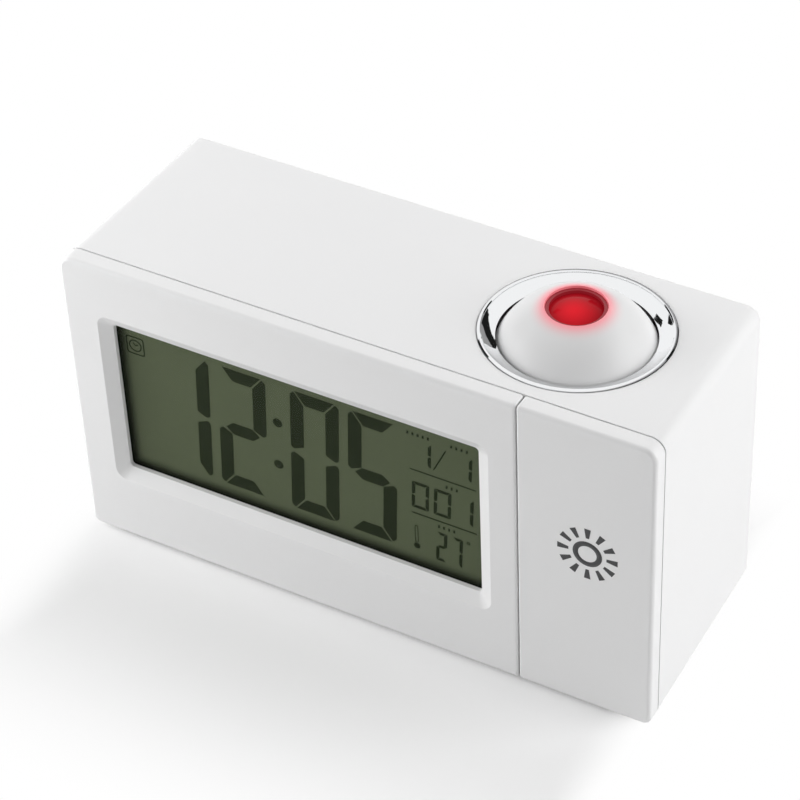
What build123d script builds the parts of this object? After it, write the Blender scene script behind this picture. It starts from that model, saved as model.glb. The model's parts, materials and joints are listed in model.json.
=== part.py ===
from build123d import *
import os
from math import asin, cos, pi, sin, sqrt

# Projection alarm clock.
#
# A deep moulded box, open at the front, carries everything.  A bezel with a bevelled window closes its
# mouth, and the right-hand third of the front is a push key of its own.  A white ball in a dished chrome
# ring on the roof throws the time on the ceiling, and tilts in a strap cradle that hangs from the roof.
# The rear wall holds the battery bay with its door, four small keys and the projector switch.
#
# Millimetres.  X runs along the width, the display faces -Y and Z is up.  The origin is on the surface
# that the clock stands on, under the middle of the case.

# ---------------------------------------------------------------- case
WIDTH = 150.0            # front face, side to side
DEPTH = 56.0             # front face to rear face
HEIGHT = 83.0            # table to the top of the front face
FOOT_STAND = 0.8         # how far the feet hold the case off the table
SIDE_DRAFT = 1.06        # each side draws in this much by the rear face
ROOF_DRAFT = 2.0         # the roof drops this much by the rear face
CORNER_R = 3.5           # long corners of the roof
LOW_CORNER_R = 2.0       # long corners of the underside
REAR_EDGE_R = 1.0        # rounding round the rear face
INNER_CORNER_R = 0.8     # least rounding of the long inner corners
WALL = 2.2               # wall of the case and the key

# ---------------------------------------------------------------- front frame: bezel and key
FRAME_DEPTH = 4.2        # bezel and key, front to back
FRAME_EDGE_R = 1.0       # rounding round the front face
FRAME_SKIN = 2.5         # thickness of the front face
SEAM_GAP = 0.45          # shadow gap between the front frame and the case
KEY_WIDTH = 33.2         # right-hand edge of the case to the middle of the groove
GROOVE = 0.35            # gap between the bezel and the key
GROOVE_EDGE_R = 0.6      # rounding of both edges of the groove
KEY_TRAVEL = 0.35        # how far the front key goes in
SLIP = 0.15              # clearance of a spigot in its mouth
SPIGOT_WALL = 1.3        # wall that locates the bezel in the case
SPIGOT_REACH = 2.0       # how far it reaches into the case
CARRIER_WALL = 1.6       # plate of the bezel behind the key
ROOT = 0.5               # how far a post is rooted in the skin

# ---------------------------------------------------------------- display window
WINDOW_LEFT = 12.25      # left-hand edge of the case to the window
WINDOW_RIGHT = 10.15     # window to the groove
WINDOW_BELOW = 23.15     # table to the window
WINDOW_ABOVE = 17.6      # window to the top of the case
RECESS_RUN = 3.4         # width of the bevel at the sides and top
RECESS_RUN_BELOW = 4.25  # width of the bevel at the bottom
RECESS_DEPTH = 2.1       # depth of the bevel
RECESS_R = 3.0           # corners of the bevel at the front face
WINDOW_R = 1.0           # corners of the window
WINDOW_LIP = 1.0         # lip that holds the clear window
DISPLAY_LAP = 4.7        # display pocket beyond the window, each side
CONTACT_LEDGE = 2.0      # more at the bottom, for the display's contacts
SURROUND_WALL = 1.5      # wall round the display pocket
SURROUND_DEPTH = 4.4     # how far that wall stands behind the lip
SURROUND_R = 1.0         # corners of the pocket and its wall

# ---------------------------------------------------------------- display stack, front to back
PANE = 1.0               # clear window
PANE_GAP = 0.3
POLARISER = 0.2
DISPLAY_GLASS = 1.1      # each of the two glass plates
LIGHT_GUIDE = 2.4
HOLDER_WALL = 1.2
HOLDER_BACK = 1.0
HOLDER_R = 0.8           # corners of the window and the holder
STACK_FIT = 0.1          # clearance between the layers and the holder
PANE_FIT = 0.3           # clearance of the pane and the holder in the pocket

# ---------------------------------------------------------------- boards and their small parts
BOARD = 1.6              # circuit board thickness
BOARD_STANDOFF = 3.6     # display holder to the main board
SCREW_R = 1.0            # small self-tapping screw
SCREW_HEAD_R = 1.9
SCREW_HEAD = 1.3
SCREW_LENGTH = 4.2
POST_R = 2.2             # post that takes a small screw
CLOSE_FIT = 0.02         # threads and push fits, a hair of clearance
RUNNING_FIT = 0.05       # pins and trunnions in their holes
SEAT_GAP = 0.1           # hair between faces that screws draw together
PILOT_SPARE = 0.2        # pilot hole beyond the end of its screw

# ---------------------------------------------------------------- case screws in their wells
WELL_INSET = 7.0         # well's centre from the side of the case
WELL_INSET_Z = 7.2       # and from the bottom and the roof
WELL_BORE_R = 2.7
WELL_WALL = 1.1
WELL_MOUTH = 19.0        # front face to the head's seat
WELL_FLOOR = 2.4
WELL_FROM_RING = 13.0    # ring to the centre of the well beside it
CASE_SCREW_R = 1.3
CASE_SCREW_HEAD_R = 2.4
CASE_SCREW_HEAD = 1.8
CASE_SCREW_LENGTH = 9.0
BOSS_R = 3.0

# ---------------------------------------------------------------- chrome ring
RING_FROM_RIGHT = 33.5   # right-hand edge of the case to the ring's centre
RING_FROM_FRONT = 30.0   # front face to the ring's centre
RING_R = 22.0
RING_BEAD = 1.0          # raised bead round the outside
RING_PROUD = 0.45        # top of the bead above the roof
RING_SEAT = 1.2          # depth of the seat in the roof
RING_LAND = 1.1          # width of the seat
RING_DISH = 1.6          # depth of the dish at its inner edge
RING_LIP = 0.8           # thickness of the dish
RING_SPIGOT = 0.4        # step that centres the ring in the roof
RING_FLARE = 0.35        # how far the inner edge opens out below
RING_SAG = 0.35          # hollow of the dish below a straight cone

# ---------------------------------------------------------------- projector ball
BALL_R = 19.8
BALL_DROP = 11.46        # roof to the ball's centre
BALL_WALL = 1.8
BALL_GAP = 0.75          # ball to ring
BALL_SPLIT = -5.0        # height of the joint between the shells, from the centre
BALL_SPIGOT = 1.8        # lip of the lower shell in the upper one
APERTURE_R = 6.95
APERTURE_BEVEL = 0.25
BALL_STEPS = 4           # cones that make up the inside of a shell
TRUNNION_R = 2.0
TRUNNION_BOSS_PROUD = 0.5    # boss beyond the ball
TRUNNION_BOSS_R = 4.0
WASHER = 0.8
WASHER_R = 4.4
WASHER_FIT = 0.05
BALL_POST_Y = 12.0       # the two screw posts in the ball
BALL_POST_R = 2.5

# ---------------------------------------------------------------- optics in the ball
BARREL_WALL = 0.8
BARREL_FIT = 0.1
BARREL_SINK = 0.65       # barrel's rim below the aperture's rim
LENS_THICK = 3.6
LENS_DOME = 1.4
LAMP_HOUSE_R = 7.8
LAMP_HOUSE_TOP = 4.0
LAMP_HOUSE_BASE = -9.4
SLIDE_THICK = 1.6        # little display that is projected
LED_R = 2.5

# ---------------------------------------------------------------- cradle strap
STRAP = 2.4              # thickness
STRAP_WIDTH = 14.0
STRAP_STRAIGHT = 5.0     # straight part below the axis
FLANGE = 2.0
FLANGE_REACH = 6.6
FLANGE_SPREAD = 11.5     # cradle screw to the ball's centre, along the depth
FLANGE_BELOW = 4.0       # flange's top below the axis
FLANGE_MARGIN = 2.8      # cradle screw to the flange's end

# ---------------------------------------------------------------- battery bay and door
CELL_R = 5.25            # AAA cell
CELL_BODY = 43.3
CELL_NUB = 1.1
CELL_BEVEL = 0.4
CELL_NUB_R = 1.9
CELLS = 3
CELL_PITCH = 11.4
CELL_FIT = 0.3
CONTACT = 0.4            # sheet metal
CONTACT_INSET = 0.8      # sheet contact within its cell's share of the wall
SPRING_SPACE = 4.0
SPRING_WIDTH = 5.0
SPRING_HALF = 4.2        # half the height of a bowed leaf
BAY_X = -14.0            # centre of the bay
BAY_BOTTOM = 22.0        # table to the bay
BAY_WALL = 1.5
BAY_R = 0.6              # corners of the bay
DOOR = 1.8
DOOR_R = 1.0             # corners of the door
DOOR_LAP = 1.5           # door beyond the bay at the sides and top
DOOR_LAP_BELOW = 3.0
DOOR_FIT = 0.25
DOOR_SINK = 0.1          # door's face below the rear face
DOOR_SEAT = 0.05
TAB_WIDTH = 6.0
TAB_SPREAD = 32.0
TAB_HOOK = 1.8           # how far a tab reaches below the door, behind the rear wall
TAB_THICK = 1.6
TAB_ROOT = 1.2           # height of a tab's arm on the door
TAB_CLEAR = 0.3
GRIP_GROOVES = 4
GRIP_DEPTH = 0.5
GRIP_WIDTH = 1.0
GRIP_PITCH = 2.0
GRIP_SIDE = 2.0          # first groove beyond the tongue, each side

# ---------------------------------------------------------------- rear controls
CONTROLS_FROM_RIGHT = 32.0   # right-hand edge of the case to the middle of the panel
CONTROLS_WIDTH = 50.0
CONTROLS_Z = (12.5, 36.0)
CONTROLS_SINK = 1.4      # panel below the rear face
CONTROLS_WALL = 2.0
CONTROLS_R = 2.0         # corners of the panel
KEYS = 4
KEY_PITCH = 11.5
KEY_Z = 28.0
KEY_R = 3.4
KEY_FIT = 0.2
KEY_PROUD = 1.1
KEY_FLANGE = 0.8
KEY_FLANGE_R = 4.5
KEY_STEM_R = 1.5
REAR_KEY_TRAVEL = 0.3
SWITCH_Z = 18.0
SWITCH_KNOB = (3.6, 2.8)     # along X, along Z
SWITCH_TRAVEL = 3.0
SWITCH_FIT = 0.25
SWITCH_BODY_WALL = 1.0   # switch body beyond the knob's travel
KNOB_FLANGE_X = 1.0      # flange beyond the knob, each way
KNOB_FLANGE_Z = 0.8
KNOB_GROOVE = 0.4
KEY_BOARD_BACK = 8.6     # inner face of the panel to the rear key board's near face
KEY_BOARD_INSET = 1.5    # rear key board within the panel
KEY_POST_INSET = 2.8     # its screws from its ends
TACT = 6.0               # tact switch body, square
TACT_BODY = 3.4
TACT_PLUNGER = 0.8
TACT_PLUNGER_R = 1.7
PRESS_GAP = 0.05         # stem to plunger with the key all the way in

# ---------------------------------------------------------------- buzzer and feet
BUZZER_FROM_LEFT = 15.5
BUZZER_Z = 40.0
BUZZER_R = 10.0
BUZZER_THICK = 4.5
BUZZER_RIM = 1.2
SOUND_HOLE_R = 0.8
SOUND_RING_R = 4.0
SOUND_HOLES = 8
FOOT_R = 5.0
FOOT_SUNK = 0.6          # foot in its seat under the case
FOOT_BEVEL = 0.3
FOOT_INSET_X = 13.0
FOOT_INSET_Y = 10.0

# ---------------------------------------------------------------- small details
HOOK_Z = (22.0, 60.0)    # heights of the key's hooks
HOOK_INSET = 4.2         # side of the key to the hook's slot
HOOK_WIDTH = 5.0
HOOK_THICK = 1.4
HOOK_NOSE = 0.9
HOOK_HEAD = 1.2
GUIDE_Z = (14.0, 68.0)   # heights of the key's guide pins
GUIDE_R = 1.6
GUIDE_REACH = 1.6        # pin beyond the carrier
PRESS_POST_R = 2.4       # post of the key that presses its switch
PRESS_POST_CLEAR = 0.6   # its clearance in the carrier
PRESS_Z = 36.0           # height of that switch
PRESS_ROOM = 1.2         # carrier to the switch's plunger
PRESS_BOARD = (20.0, 12.0)   # the switch's board, along X and along Z
PRESS_SCREW_X = 7.4      # its screws from its middle
SADDLE_HALF = 5.0        # half the width of the roof's saddle ribs
HOLDER_EAR = 1.5         # thickness of the holder's ears
EAR_HALF = 2.4
HOLDER_SCREW_LOW = 7.0   # pocket's bottom to the lower ears
HOLDER_SCREW_HIGH = 12.0 # pocket's top to the upper left ear
HOLDER_SCREW_RISE = 17.0 # lower right ear to the one above it, under the cradle
MAIN_BOARD_INSET = 3.5   # pocket to the main board at the left
MAIN_BOARD_FROM_RING = 27.5  # ring's centre to the main board, clear of the cradle
MAIN_BOARD_BELOW = 0.6   # main board below the display's layers
MAIN_BOARD_TRIM = 8.0    # pocket's top to the main board
BOARD_POST_INSET = 4.0
BOARD_POST_LOW = 7.0     # lower posts, above the contact strip
CONTACT_FROM_LEFT = 12.0 # window's left edge to the contact strip
CONTACT_FROM_EDGE = 3.0  # contact strip to the main board's right edge
LED_ROOM = 2.8           # space for the backlight beside its guide
LED_LENGTH = 6.0
LED_INSET = 0.2          # backlight within the guide's thickness
CHIP_R = 6.0
CHIP = 1.5
CRYSTAL_R = 1.5
CRYSTAL_LENGTH = 8.0
CRYSTAL_INSET = 18.0
SENSOR_R = 1.3
SENSOR_LENGTH = 3.0
SENSOR_INSET = 2.2
KEY_BEVEL = 0.5
SWITCH_HIGH = 4.6
SCOOP_R = 8.0
SCOOP_DEPTH = 1.2
TONGUE_WIDTH = 12.0
TONGUE_LENGTH = 8.0
TONGUE_SLIT = 0.8
BALL_SCREW_SEAT = -8.6   # head's seat, from the ball's centre
BALL_SCREW_LENGTH = 7.0
LEAD_HOLE_R = 2.5
LENS_SEAT = 13.5
SLIDE_SEAT = 3.2
CONDENSER_THICK = 2.6
LED_HIGH = 5.0
PROJECTOR_BOARD = (18.0, 14.0)   # along X and along Y

# ---------------------------------------------------------------- places that follow from the sizes
LEFT_X = -WIDTH / 2
RIGHT_X = WIDTH / 2
FRONT_Y = -DEPTH / 2
REAR_Y = DEPTH / 2
FRAME_BACK_Y = FRONT_Y + FRAME_DEPTH
CASE_MOUTH_Y = FRAME_BACK_Y + SEAM_GAP
SKIN_BACK_Y = FRONT_Y + FRAME_SKIN
SPIGOT_INSET = WALL + SLIP
SPIGOT_END_Y = CASE_MOUTH_Y + SPIGOT_REACH
CARRIER_Y = SPIGOT_END_Y - CARRIER_WALL
SPLIT_X = RIGHT_X - KEY_WIDTH
REAR_WALL_Y = REAR_Y - WALL

WINDOW_X = (LEFT_X + WINDOW_LEFT, SPLIT_X - WINDOW_RIGHT)
WINDOW_Z = (WINDOW_BELOW, HEIGHT - WINDOW_ABOVE)
LIP_Y = FRONT_Y + RECESS_DEPTH
PANE_Y = LIP_Y + WINDOW_LIP
POCKET_X = (WINDOW_X[0] - DISPLAY_LAP, WINDOW_X[1] + DISPLAY_LAP)
POCKET_Z = (WINDOW_Z[0] - DISPLAY_LAP - CONTACT_LEDGE, WINDOW_Z[1] + DISPLAY_LAP)
SURROUND_Y = PANE_Y + SURROUND_DEPTH

HOLDER_X = (POCKET_X[0] + PANE_FIT, POCKET_X[1] - PANE_FIT)
HOLDER_Z = (POCKET_Z[0] + PANE_FIT, POCKET_Z[1] - PANE_FIT)
STACK_X = (HOLDER_X[0] + HOLDER_WALL + STACK_FIT, HOLDER_X[1] - HOLDER_WALL - STACK_FIT)
STACK_Z = (HOLDER_Z[0] + HOLDER_WALL + STACK_FIT, HOLDER_Z[1] - HOLDER_WALL - STACK_FIT)
LEDGE_TOP_Z = STACK_Z[0] + CONTACT_LEDGE + STACK_FIT
HOLDER_Y = PANE_Y + PANE
FRONT_POLARISER_Y = HOLDER_Y + PANE_GAP
FRONT_GLASS_Y = FRONT_POLARISER_Y + POLARISER
REAR_GLASS_Y = FRONT_GLASS_Y + DISPLAY_GLASS
REAR_POLARISER_Y = REAR_GLASS_Y + DISPLAY_GLASS
LIGHT_GUIDE_Y = REAR_POLARISER_Y + POLARISER + STACK_FIT
HOLDER_BACK_Y = LIGHT_GUIDE_Y + LIGHT_GUIDE + STACK_FIT
HOLDER_END_Y = HOLDER_BACK_Y + HOLDER_BACK
MAIN_BOARD_Y = HOLDER_END_Y + BOARD_STANDOFF

RING_X = RIGHT_X - RING_FROM_RIGHT
RING_Y = FRONT_Y + RING_FROM_FRONT
ROOF_SLOPE = ROOF_DRAFT / DEPTH
RING_Z = HEIGHT - ROOF_SLOPE * RING_FROM_FRONT
ROOF = Plane(origin=(RING_X, RING_Y, RING_Z), x_dir=(1, 0, 0), z_dir=(0, ROOF_SLOPE, 1))
BALL_CENTRE = ROOF.origin - ROOF.z_dir * BALL_DROP
BALL_X, BALL_Y, BALL_Z = BALL_CENTRE.X, BALL_CENTRE.Y, BALL_CENTRE.Z
RING_INNER_R = sqrt(BALL_R**2 - (BALL_DROP - RING_DISH) ** 2) + BALL_GAP

APERTURE_Z = sqrt(BALL_R**2 - APERTURE_R**2)
BARREL_R = APERTURE_R - BARREL_FIT
BARREL_BORE_R = BARREL_R - BARREL_WALL
BARREL_TOP = APERTURE_Z - BARREL_SINK
TRUNNION_BOSS_X = BALL_R + TRUNNION_BOSS_PROUD
CHEEK_X = TRUNNION_BOSS_X + WASHER + 2 * WASHER_FIT
FLANGE_TOP_Z = BALL_Z - FLANGE_BELOW
FLANGE_SCREW_X = CHEEK_X + STRAP + (FLANGE_REACH - STRAP) / 2

CELL_LENGTH = CELL_BODY + CELL_NUB
BAY_LENGTH = CELL_LENGTH + SPRING_SPACE + 2 * CONTACT
BAY_SPAN_X = (BAY_X - BAY_LENGTH / 2, BAY_X + BAY_LENGTH / 2)
BAY_SPAN_Z = (BAY_BOTTOM, BAY_BOTTOM + CELLS * CELL_PITCH)
DOOR_BACK_Y = REAR_Y - DOOR_SINK - DOOR
DOOR_LEDGE_Y = DOOR_BACK_Y - DOOR_SEAT
CELL_Y = DOOR_BACK_Y - CELL_FIT - CELL_R
BAY_FLOOR_Y = CELL_Y - CELL_R - CELL_FIT
DOOR_X = (BAY_SPAN_X[0] - DOOR_LAP, BAY_SPAN_X[1] + DOOR_LAP)
DOOR_Z = (BAY_SPAN_Z[0] - DOOR_LAP_BELOW, BAY_SPAN_Z[1] + DOOR_LAP)
DOOR_AXIS_Y = REAR_Y - DOOR_SINK
TAB_BACK = WALL - DOOR_SINK + TAB_CLEAR
TAB_SWEEP = sqrt((TAB_BACK + TAB_THICK) ** 2 + TAB_HOOK**2) + TAB_CLEAR
TAB_X = [(DOOR_X[0] + DOOR_X[1] + side * TAB_SPREAD) / 2 for side in (-1, 1)]
CELL_Z = [BAY_SPAN_Z[0] + (i + 0.5) * CELL_PITCH for i in range(CELLS)]

CONTROLS_X = RIGHT_X - CONTROLS_FROM_RIGHT
CONTROLS_FACE_Y = REAR_Y - CONTROLS_SINK
CONTROLS_BACK_Y = CONTROLS_FACE_Y - CONTROLS_WALL
KEY_BOARD_Y = CONTROLS_BACK_Y - KEY_BOARD_BACK
KEY_BOARD_HALF = CONTROLS_WIDTH / 2 - KEY_BOARD_INSET
KEY_BOARD_X = (CONTROLS_X - KEY_BOARD_HALF, CONTROLS_X + KEY_BOARD_HALF)
KEY_BOARD_Z = (CONTROLS_Z[0] + KEY_BOARD_INSET, CONTROLS_Z[1] - KEY_BOARD_INSET)
REAR_KEY_X = [CONTROLS_X + (i - (KEYS - 1) / 2) * KEY_PITCH for i in range(KEYS)]
TACT_TOP = TACT_BODY + TACT_PLUNGER
KEY_BOARD_POSTS = [(x, SWITCH_Z) for x in (KEY_BOARD_X[0] + KEY_POST_INSET, KEY_BOARD_X[1] - KEY_POST_INSET)]

FRONT_KEY_X = (SPLIT_X + RIGHT_X) / 2
PRESS_BOARD_Y = SPIGOT_END_Y + PRESS_ROOM + TACT_TOP

WELLS = [
    (LEFT_X + WELL_INSET, FOOT_STAND + WELL_INSET_Z),
    (LEFT_X + WELL_INSET, HEIGHT - ROOF_DRAFT - WELL_INSET_Z),
    (RIGHT_X - WELL_INSET, FOOT_STAND + WELL_INSET_Z),
    (RING_X - RING_R - WELL_FROM_RING, HEIGHT - ROOF_DRAFT - WELL_INSET_Z),
]
WELL_END_Y = FRONT_Y + WELL_MOUTH - WELL_FLOOR
FEET = [
    (name, x, y)
    for name, x, y in (
        ("foot_front_left", LEFT_X + FOOT_INSET_X, FRONT_Y + FOOT_INSET_Y),
        ("foot_front_right", RIGHT_X - FOOT_INSET_X, FRONT_Y + FOOT_INSET_Y),
        ("foot_rear_left", LEFT_X + FOOT_INSET_X, REAR_Y - FOOT_INSET_Y),
        ("foot_rear_right", RIGHT_X - FOOT_INSET_X, REAR_Y - FOOT_INSET_Y),
    )
]
HOLDER_SCREWS = [
    (POCKET_X[0] - POST_R, POCKET_Z[0] + HOLDER_SCREW_LOW),
    (POCKET_X[0] - POST_R, POCKET_Z[1] - HOLDER_SCREW_HIGH),
    (POCKET_X[1] + POST_R, POCKET_Z[0] + HOLDER_SCREW_LOW),
    (POCKET_X[1] + POST_R, POCKET_Z[0] + HOLDER_SCREW_LOW + HOLDER_SCREW_RISE),
]
MAIN_BOARD_X = (POCKET_X[0] + MAIN_BOARD_INSET, RING_X - MAIN_BOARD_FROM_RING)
MAIN_BOARD_Z = (STACK_Z[0] - MAIN_BOARD_BELOW, POCKET_Z[1] - MAIN_BOARD_TRIM)
CONTACT_X = (WINDOW_X[0] + CONTACT_FROM_LEFT, MAIN_BOARD_X[1] - CONTACT_FROM_EDGE)
BOARD_POSTS = [
    (x, z)
    for x in (MAIN_BOARD_X[0] + BOARD_POST_INSET, MAIN_BOARD_X[1] - BOARD_POST_INSET)
    for z in (MAIN_BOARD_Z[0] + BOARD_POST_LOW, MAIN_BOARD_Z[1] - BOARD_POST_INSET)
]


# ---------------------------------------------------------------- helpers
def facing(y):
    """Plane square to the depth: its local x is +X, its local y is +Z and its normal looks to the front."""
    return Plane(origin=(0, y, 0), x_dir=(1, 0, 0), z_dir=(0, -1, 0))


def block(x, y, z):
    """Square block between three pairs of limits."""
    centre = [(low + high) / 2 for low, high in (x, y, z)]
    return Pos(*centre) * Box(x[1] - x[0], y[1] - y[0], z[1] - z[0])


def outline(x, z, radius):
    """Flat outline with rounded corners, across X and Z."""
    return Pos((x[0] + x[1]) / 2, (z[0] + z[1]) / 2) * RectangleRounded(x[1] - x[0], z[1] - z[0], radius)


def plate(x, y, z, radius):
    """Plate square to the depth, with rounded corners."""
    return extrude(facing(y[1]) * outline(x, z, radius), amount=y[1] - y[0])


def rod(x, z, radius, y):
    """Round rod along the depth."""
    return extrude(facing(y[1]) * Pos(x, z) * Circle(radius), amount=y[1] - y[0])


def post(x, y, radius, z):
    """Round rod along the height."""
    return Pos(x, y, (z[0] + z[1]) / 2) * Cylinder(radius, z[1] - z[0])


def pin(radius, x):
    """Round rod along the width, on the X axis."""
    return Pos((x[0] + x[1]) / 2, 0, 0) * Rot(0, 90, 0) * Cylinder(radius, x[1] - x[0])


def draft_at(y):
    """Share of the case's draft that is reached at depth y."""
    return (y - FRONT_Y) / DEPTH


def case_block(y, inset=0.0):
    """Drafted block of the case between two depths, drawn in by inset all round.

    Its plan and its side view are both tapered; where they cross is the block, with its long corners rounded.
    """
    half = [WIDTH / 2 - SIDE_DRAFT * draft_at(depth) - inset for depth in y]
    top = [HEIGHT - ROOF_DRAFT * draft_at(depth) - inset for depth in y]
    low = FOOT_STAND + inset
    plan = Polyline((-half[0], y[0]), (half[0], y[0]), (half[1], y[1]), (-half[1], y[1]), close=True)
    side = Polyline((y[0], low), (y[1], low), (y[1], top[1]), (y[0], top[0]), close=True)
    solid = extrude(make_face(plan), amount=HEIGHT)
    solid &= extrude(Plane.YZ * make_face(side), amount=WIDTH, both=True)
    for index, radius in ((0, LOW_CORNER_R), (-1, CORNER_R)):
        side_faces = solid.faces().filter_by(lambda face: abs(face.normal_at().Z) > 0.9)
        long_edges = [e for e in side_faces.sort_by(Axis.Z)[index].edges() if abs(e.tangent_at(0.5).Y) > 0.9]
        solid = fillet(long_edges, max(radius - inset, INNER_CORNER_R))
    return solid


def turned(points_face):
    """Solid of revolution from a face drawn in (radius, height), about its own Z axis."""
    return revolve(Plane.XZ * points_face, Axis.Z)


# ---------------------------------------------------------------- housing
def well(x, z):
    """Tube that a case screw and its driver go down, with a floor at its front end."""
    return rod(x, z, WELL_BORE_R + WELL_WALL, (WELL_END_Y, REAR_WALL_Y + WALL / 2))


def well_bore(x, z):
    bore = rod(x, z, WELL_BORE_R, (WELL_END_Y + WELL_FLOOR, REAR_Y + 1))
    return bore + rod(x, z, CASE_SCREW_R + CLOSE_FIT, (WELL_END_Y - 1, REAR_WALL_Y))


def bay_walls():
    """Outside of the battery bay, with a frame round the door's seat."""
    x = (BAY_SPAN_X[0] - BAY_WALL, BAY_SPAN_X[1] + BAY_WALL)
    z = (BAY_SPAN_Z[0] - BAY_WALL, BAY_SPAN_Z[1] + BAY_WALL)
    walls = plate(x, (BAY_FLOOR_Y - BAY_WALL, REAR_Y - WALL / 2), z, BAY_WALL)
    frame_x = (DOOR_X[0] - BAY_WALL, DOOR_X[1] + BAY_WALL)
    frame_z = (DOOR_Z[0] - BAY_WALL, DOOR_Z[1] + BAY_WALL)
    return walls + plate(frame_x, (DOOR_LEDGE_Y - BAY_WALL, REAR_Y - WALL / 2), frame_z, BAY_WALL)


def bay_space():
    """Space for the cells: a trough for each, the contacts' ends, the door's seat and its tab slots."""
    space = plate(BAY_SPAN_X, (CELL_Y, REAR_Y + 1), BAY_SPAN_Z, BAY_R)
    for z in CELL_Z:
        space += Pos(0, CELL_Y, z) * pin(CELL_R + CELL_FIT, BAY_SPAN_X)
    end = CONTACT + CELL_FIT
    for x in ((BAY_SPAN_X[0], BAY_SPAN_X[0] + end), (BAY_SPAN_X[1] - end, BAY_SPAN_X[1])):
        space += block(x, (BAY_FLOOR_Y, CELL_Y + 1), BAY_SPAN_Z)
    space += plate(widened(DOOR_X), (DOOR_LEDGE_Y, REAR_Y + 1), widened(DOOR_Z), DOOR_R + DOOR_FIT)
    for x in TAB_X:
        slot_x = (x - TAB_WIDTH / 2 - TAB_CLEAR, x + TAB_WIDTH / 2 + TAB_CLEAR)
        top = DOOR_Z[0] + TAB_SWEEP
        front = DOOR_AXIS_Y - TAB_SWEEP
        space += block(slot_x, (front, REAR_WALL_Y), (DOOR_Z[0] - TAB_HOOK - TAB_CLEAR, top))
        space += block(slot_x, (front, DOOR_BACK_Y), (DOOR_Z[0] - DOOR_FIT, top))
    return space


def widened(span):
    """Opening for the door along one direction."""
    return (span[0] - DOOR_FIT, span[1] + DOOR_FIT)


def finger_scoop():
    """Shallow scoop above the door for a fingertip."""
    x = (DOOR_X[0] + DOOR_X[1]) / 2
    ball = Pos(x, REAR_Y + SCOOP_R - SCOOP_DEPTH, DOOR_Z[1]) * Sphere(SCOOP_R)
    above_door = (DOOR_Z[1], DOOR_Z[1] + SCOOP_R)
    return ball & block((x - SCOOP_R, x + SCOOP_R), (REAR_WALL_Y, REAR_Y + 1), above_door)


def controls_pad():
    x = (CONTROLS_X - CONTROLS_WIDTH / 2 - WALL, CONTROLS_X + CONTROLS_WIDTH / 2 + WALL)
    z = (CONTROLS_Z[0] - WALL / 2, CONTROLS_Z[1] + WALL)
    pad = plate(x, (CONTROLS_BACK_Y, REAR_Y - WALL / 2), z, CONTROLS_R)
    for px, pz in KEY_BOARD_POSTS:
        pad += rod(px, pz, POST_R, (KEY_BOARD_Y, CONTROLS_FACE_Y - CONTROLS_WALL / 2))
    return pad


def controls_cuts():
    """The sunk panel, the key holes, the switch slot and the pilot holes for the key board."""
    x = (CONTROLS_X - CONTROLS_WIDTH / 2, CONTROLS_X + CONTROLS_WIDTH / 2)
    cuts = plate(x, (CONTROLS_FACE_Y, REAR_Y + 1), CONTROLS_Z, CONTROLS_R)
    for key_x in REAR_KEY_X:
        cuts += rod(key_x, KEY_Z, KEY_R + KEY_FIT, (CONTROLS_BACK_Y - 1, REAR_Y))
    half = (SWITCH_KNOB[0] + SWITCH_TRAVEL) / 2 + SWITCH_FIT
    high = SWITCH_KNOB[1] / 2 + SWITCH_FIT
    cuts += block((CONTROLS_X - half, CONTROLS_X + half), (CONTROLS_BACK_Y - 1, REAR_Y),
                  (SWITCH_Z - high, SWITCH_Z + high))
    for px, pz in KEY_BOARD_POSTS:
        cuts += rod(px, pz, SCREW_R + CLOSE_FIT, (KEY_BOARD_Y - 1, KEY_BOARD_Y + SCREW_LENGTH))
    return cuts


def cradle_screw_places():
    """The cradle's four screws, seen from the ball's centre."""
    return [(side * FLANGE_SCREW_X, end * FLANGE_SPREAD) for side in (-1, 1) for end in (-1, 1)]


def saddle_ribs():
    """Ribs that hang from the roof over the ball's trunnions, and the bosses for the cradle's screws."""
    hung = Part()
    for side in (-1, 1):
        x = sorted((BALL_X + side * CHEEK_X, BALL_X + side * (CHEEK_X + STRAP)))
        hung += block(x, (BALL_Y - SADDLE_HALF, BALL_Y + SADDLE_HALF), (BALL_Z + SEAT_GAP, HEIGHT))
    for x, y in cradle_screw_places():
        hung += post(BALL_X + x, BALL_Y + y, POST_R, (FLANGE_TOP_Z, HEIGHT))
    return hung & case_block((FRONT_Y, REAR_Y), WALL / 2)


def saddle_cuts():
    reach = CHEEK_X + STRAP + 1
    cuts = Pos(BALL_X, BALL_Y, BALL_Z) * pin(TRUNNION_R + RUNNING_FIT, (-reach, reach))
    for x, y in cradle_screw_places():
        pilot_z = (FLANGE_TOP_Z - 1, FLANGE_TOP_Z + SCREW_LENGTH)
        cuts += post(BALL_X + x, BALL_Y + y, SCREW_R + CLOSE_FIT, pilot_z)
    return cuts


def ring_seat():
    """Hole in the roof with a shallow seat for the chrome ring, square to the roof."""
    deep = 3 * WALL
    seat = Pos(0, 0, -RING_SEAT + deep / 2) * Cylinder(RING_R + SLIP, deep)
    hole = Cylinder(RING_R - RING_LAND, 2 * deep)
    return ROOF.location * (seat + hole)


def sound_holes():
    x = LEFT_X + BUZZER_FROM_LEFT
    holes = rod(x, BUZZER_Z, SOUND_HOLE_R, (REAR_WALL_Y - 1, REAR_Y + 1))
    for i in range(SOUND_HOLES):
        angle = 2 * pi * i / SOUND_HOLES
        place = (x + SOUND_RING_R * cos(angle), BUZZER_Z + SOUND_RING_R * sin(angle))
        holes += rod(*place, SOUND_HOLE_R, (REAR_WALL_Y - 1, REAR_Y + 1))
    return holes


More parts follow.
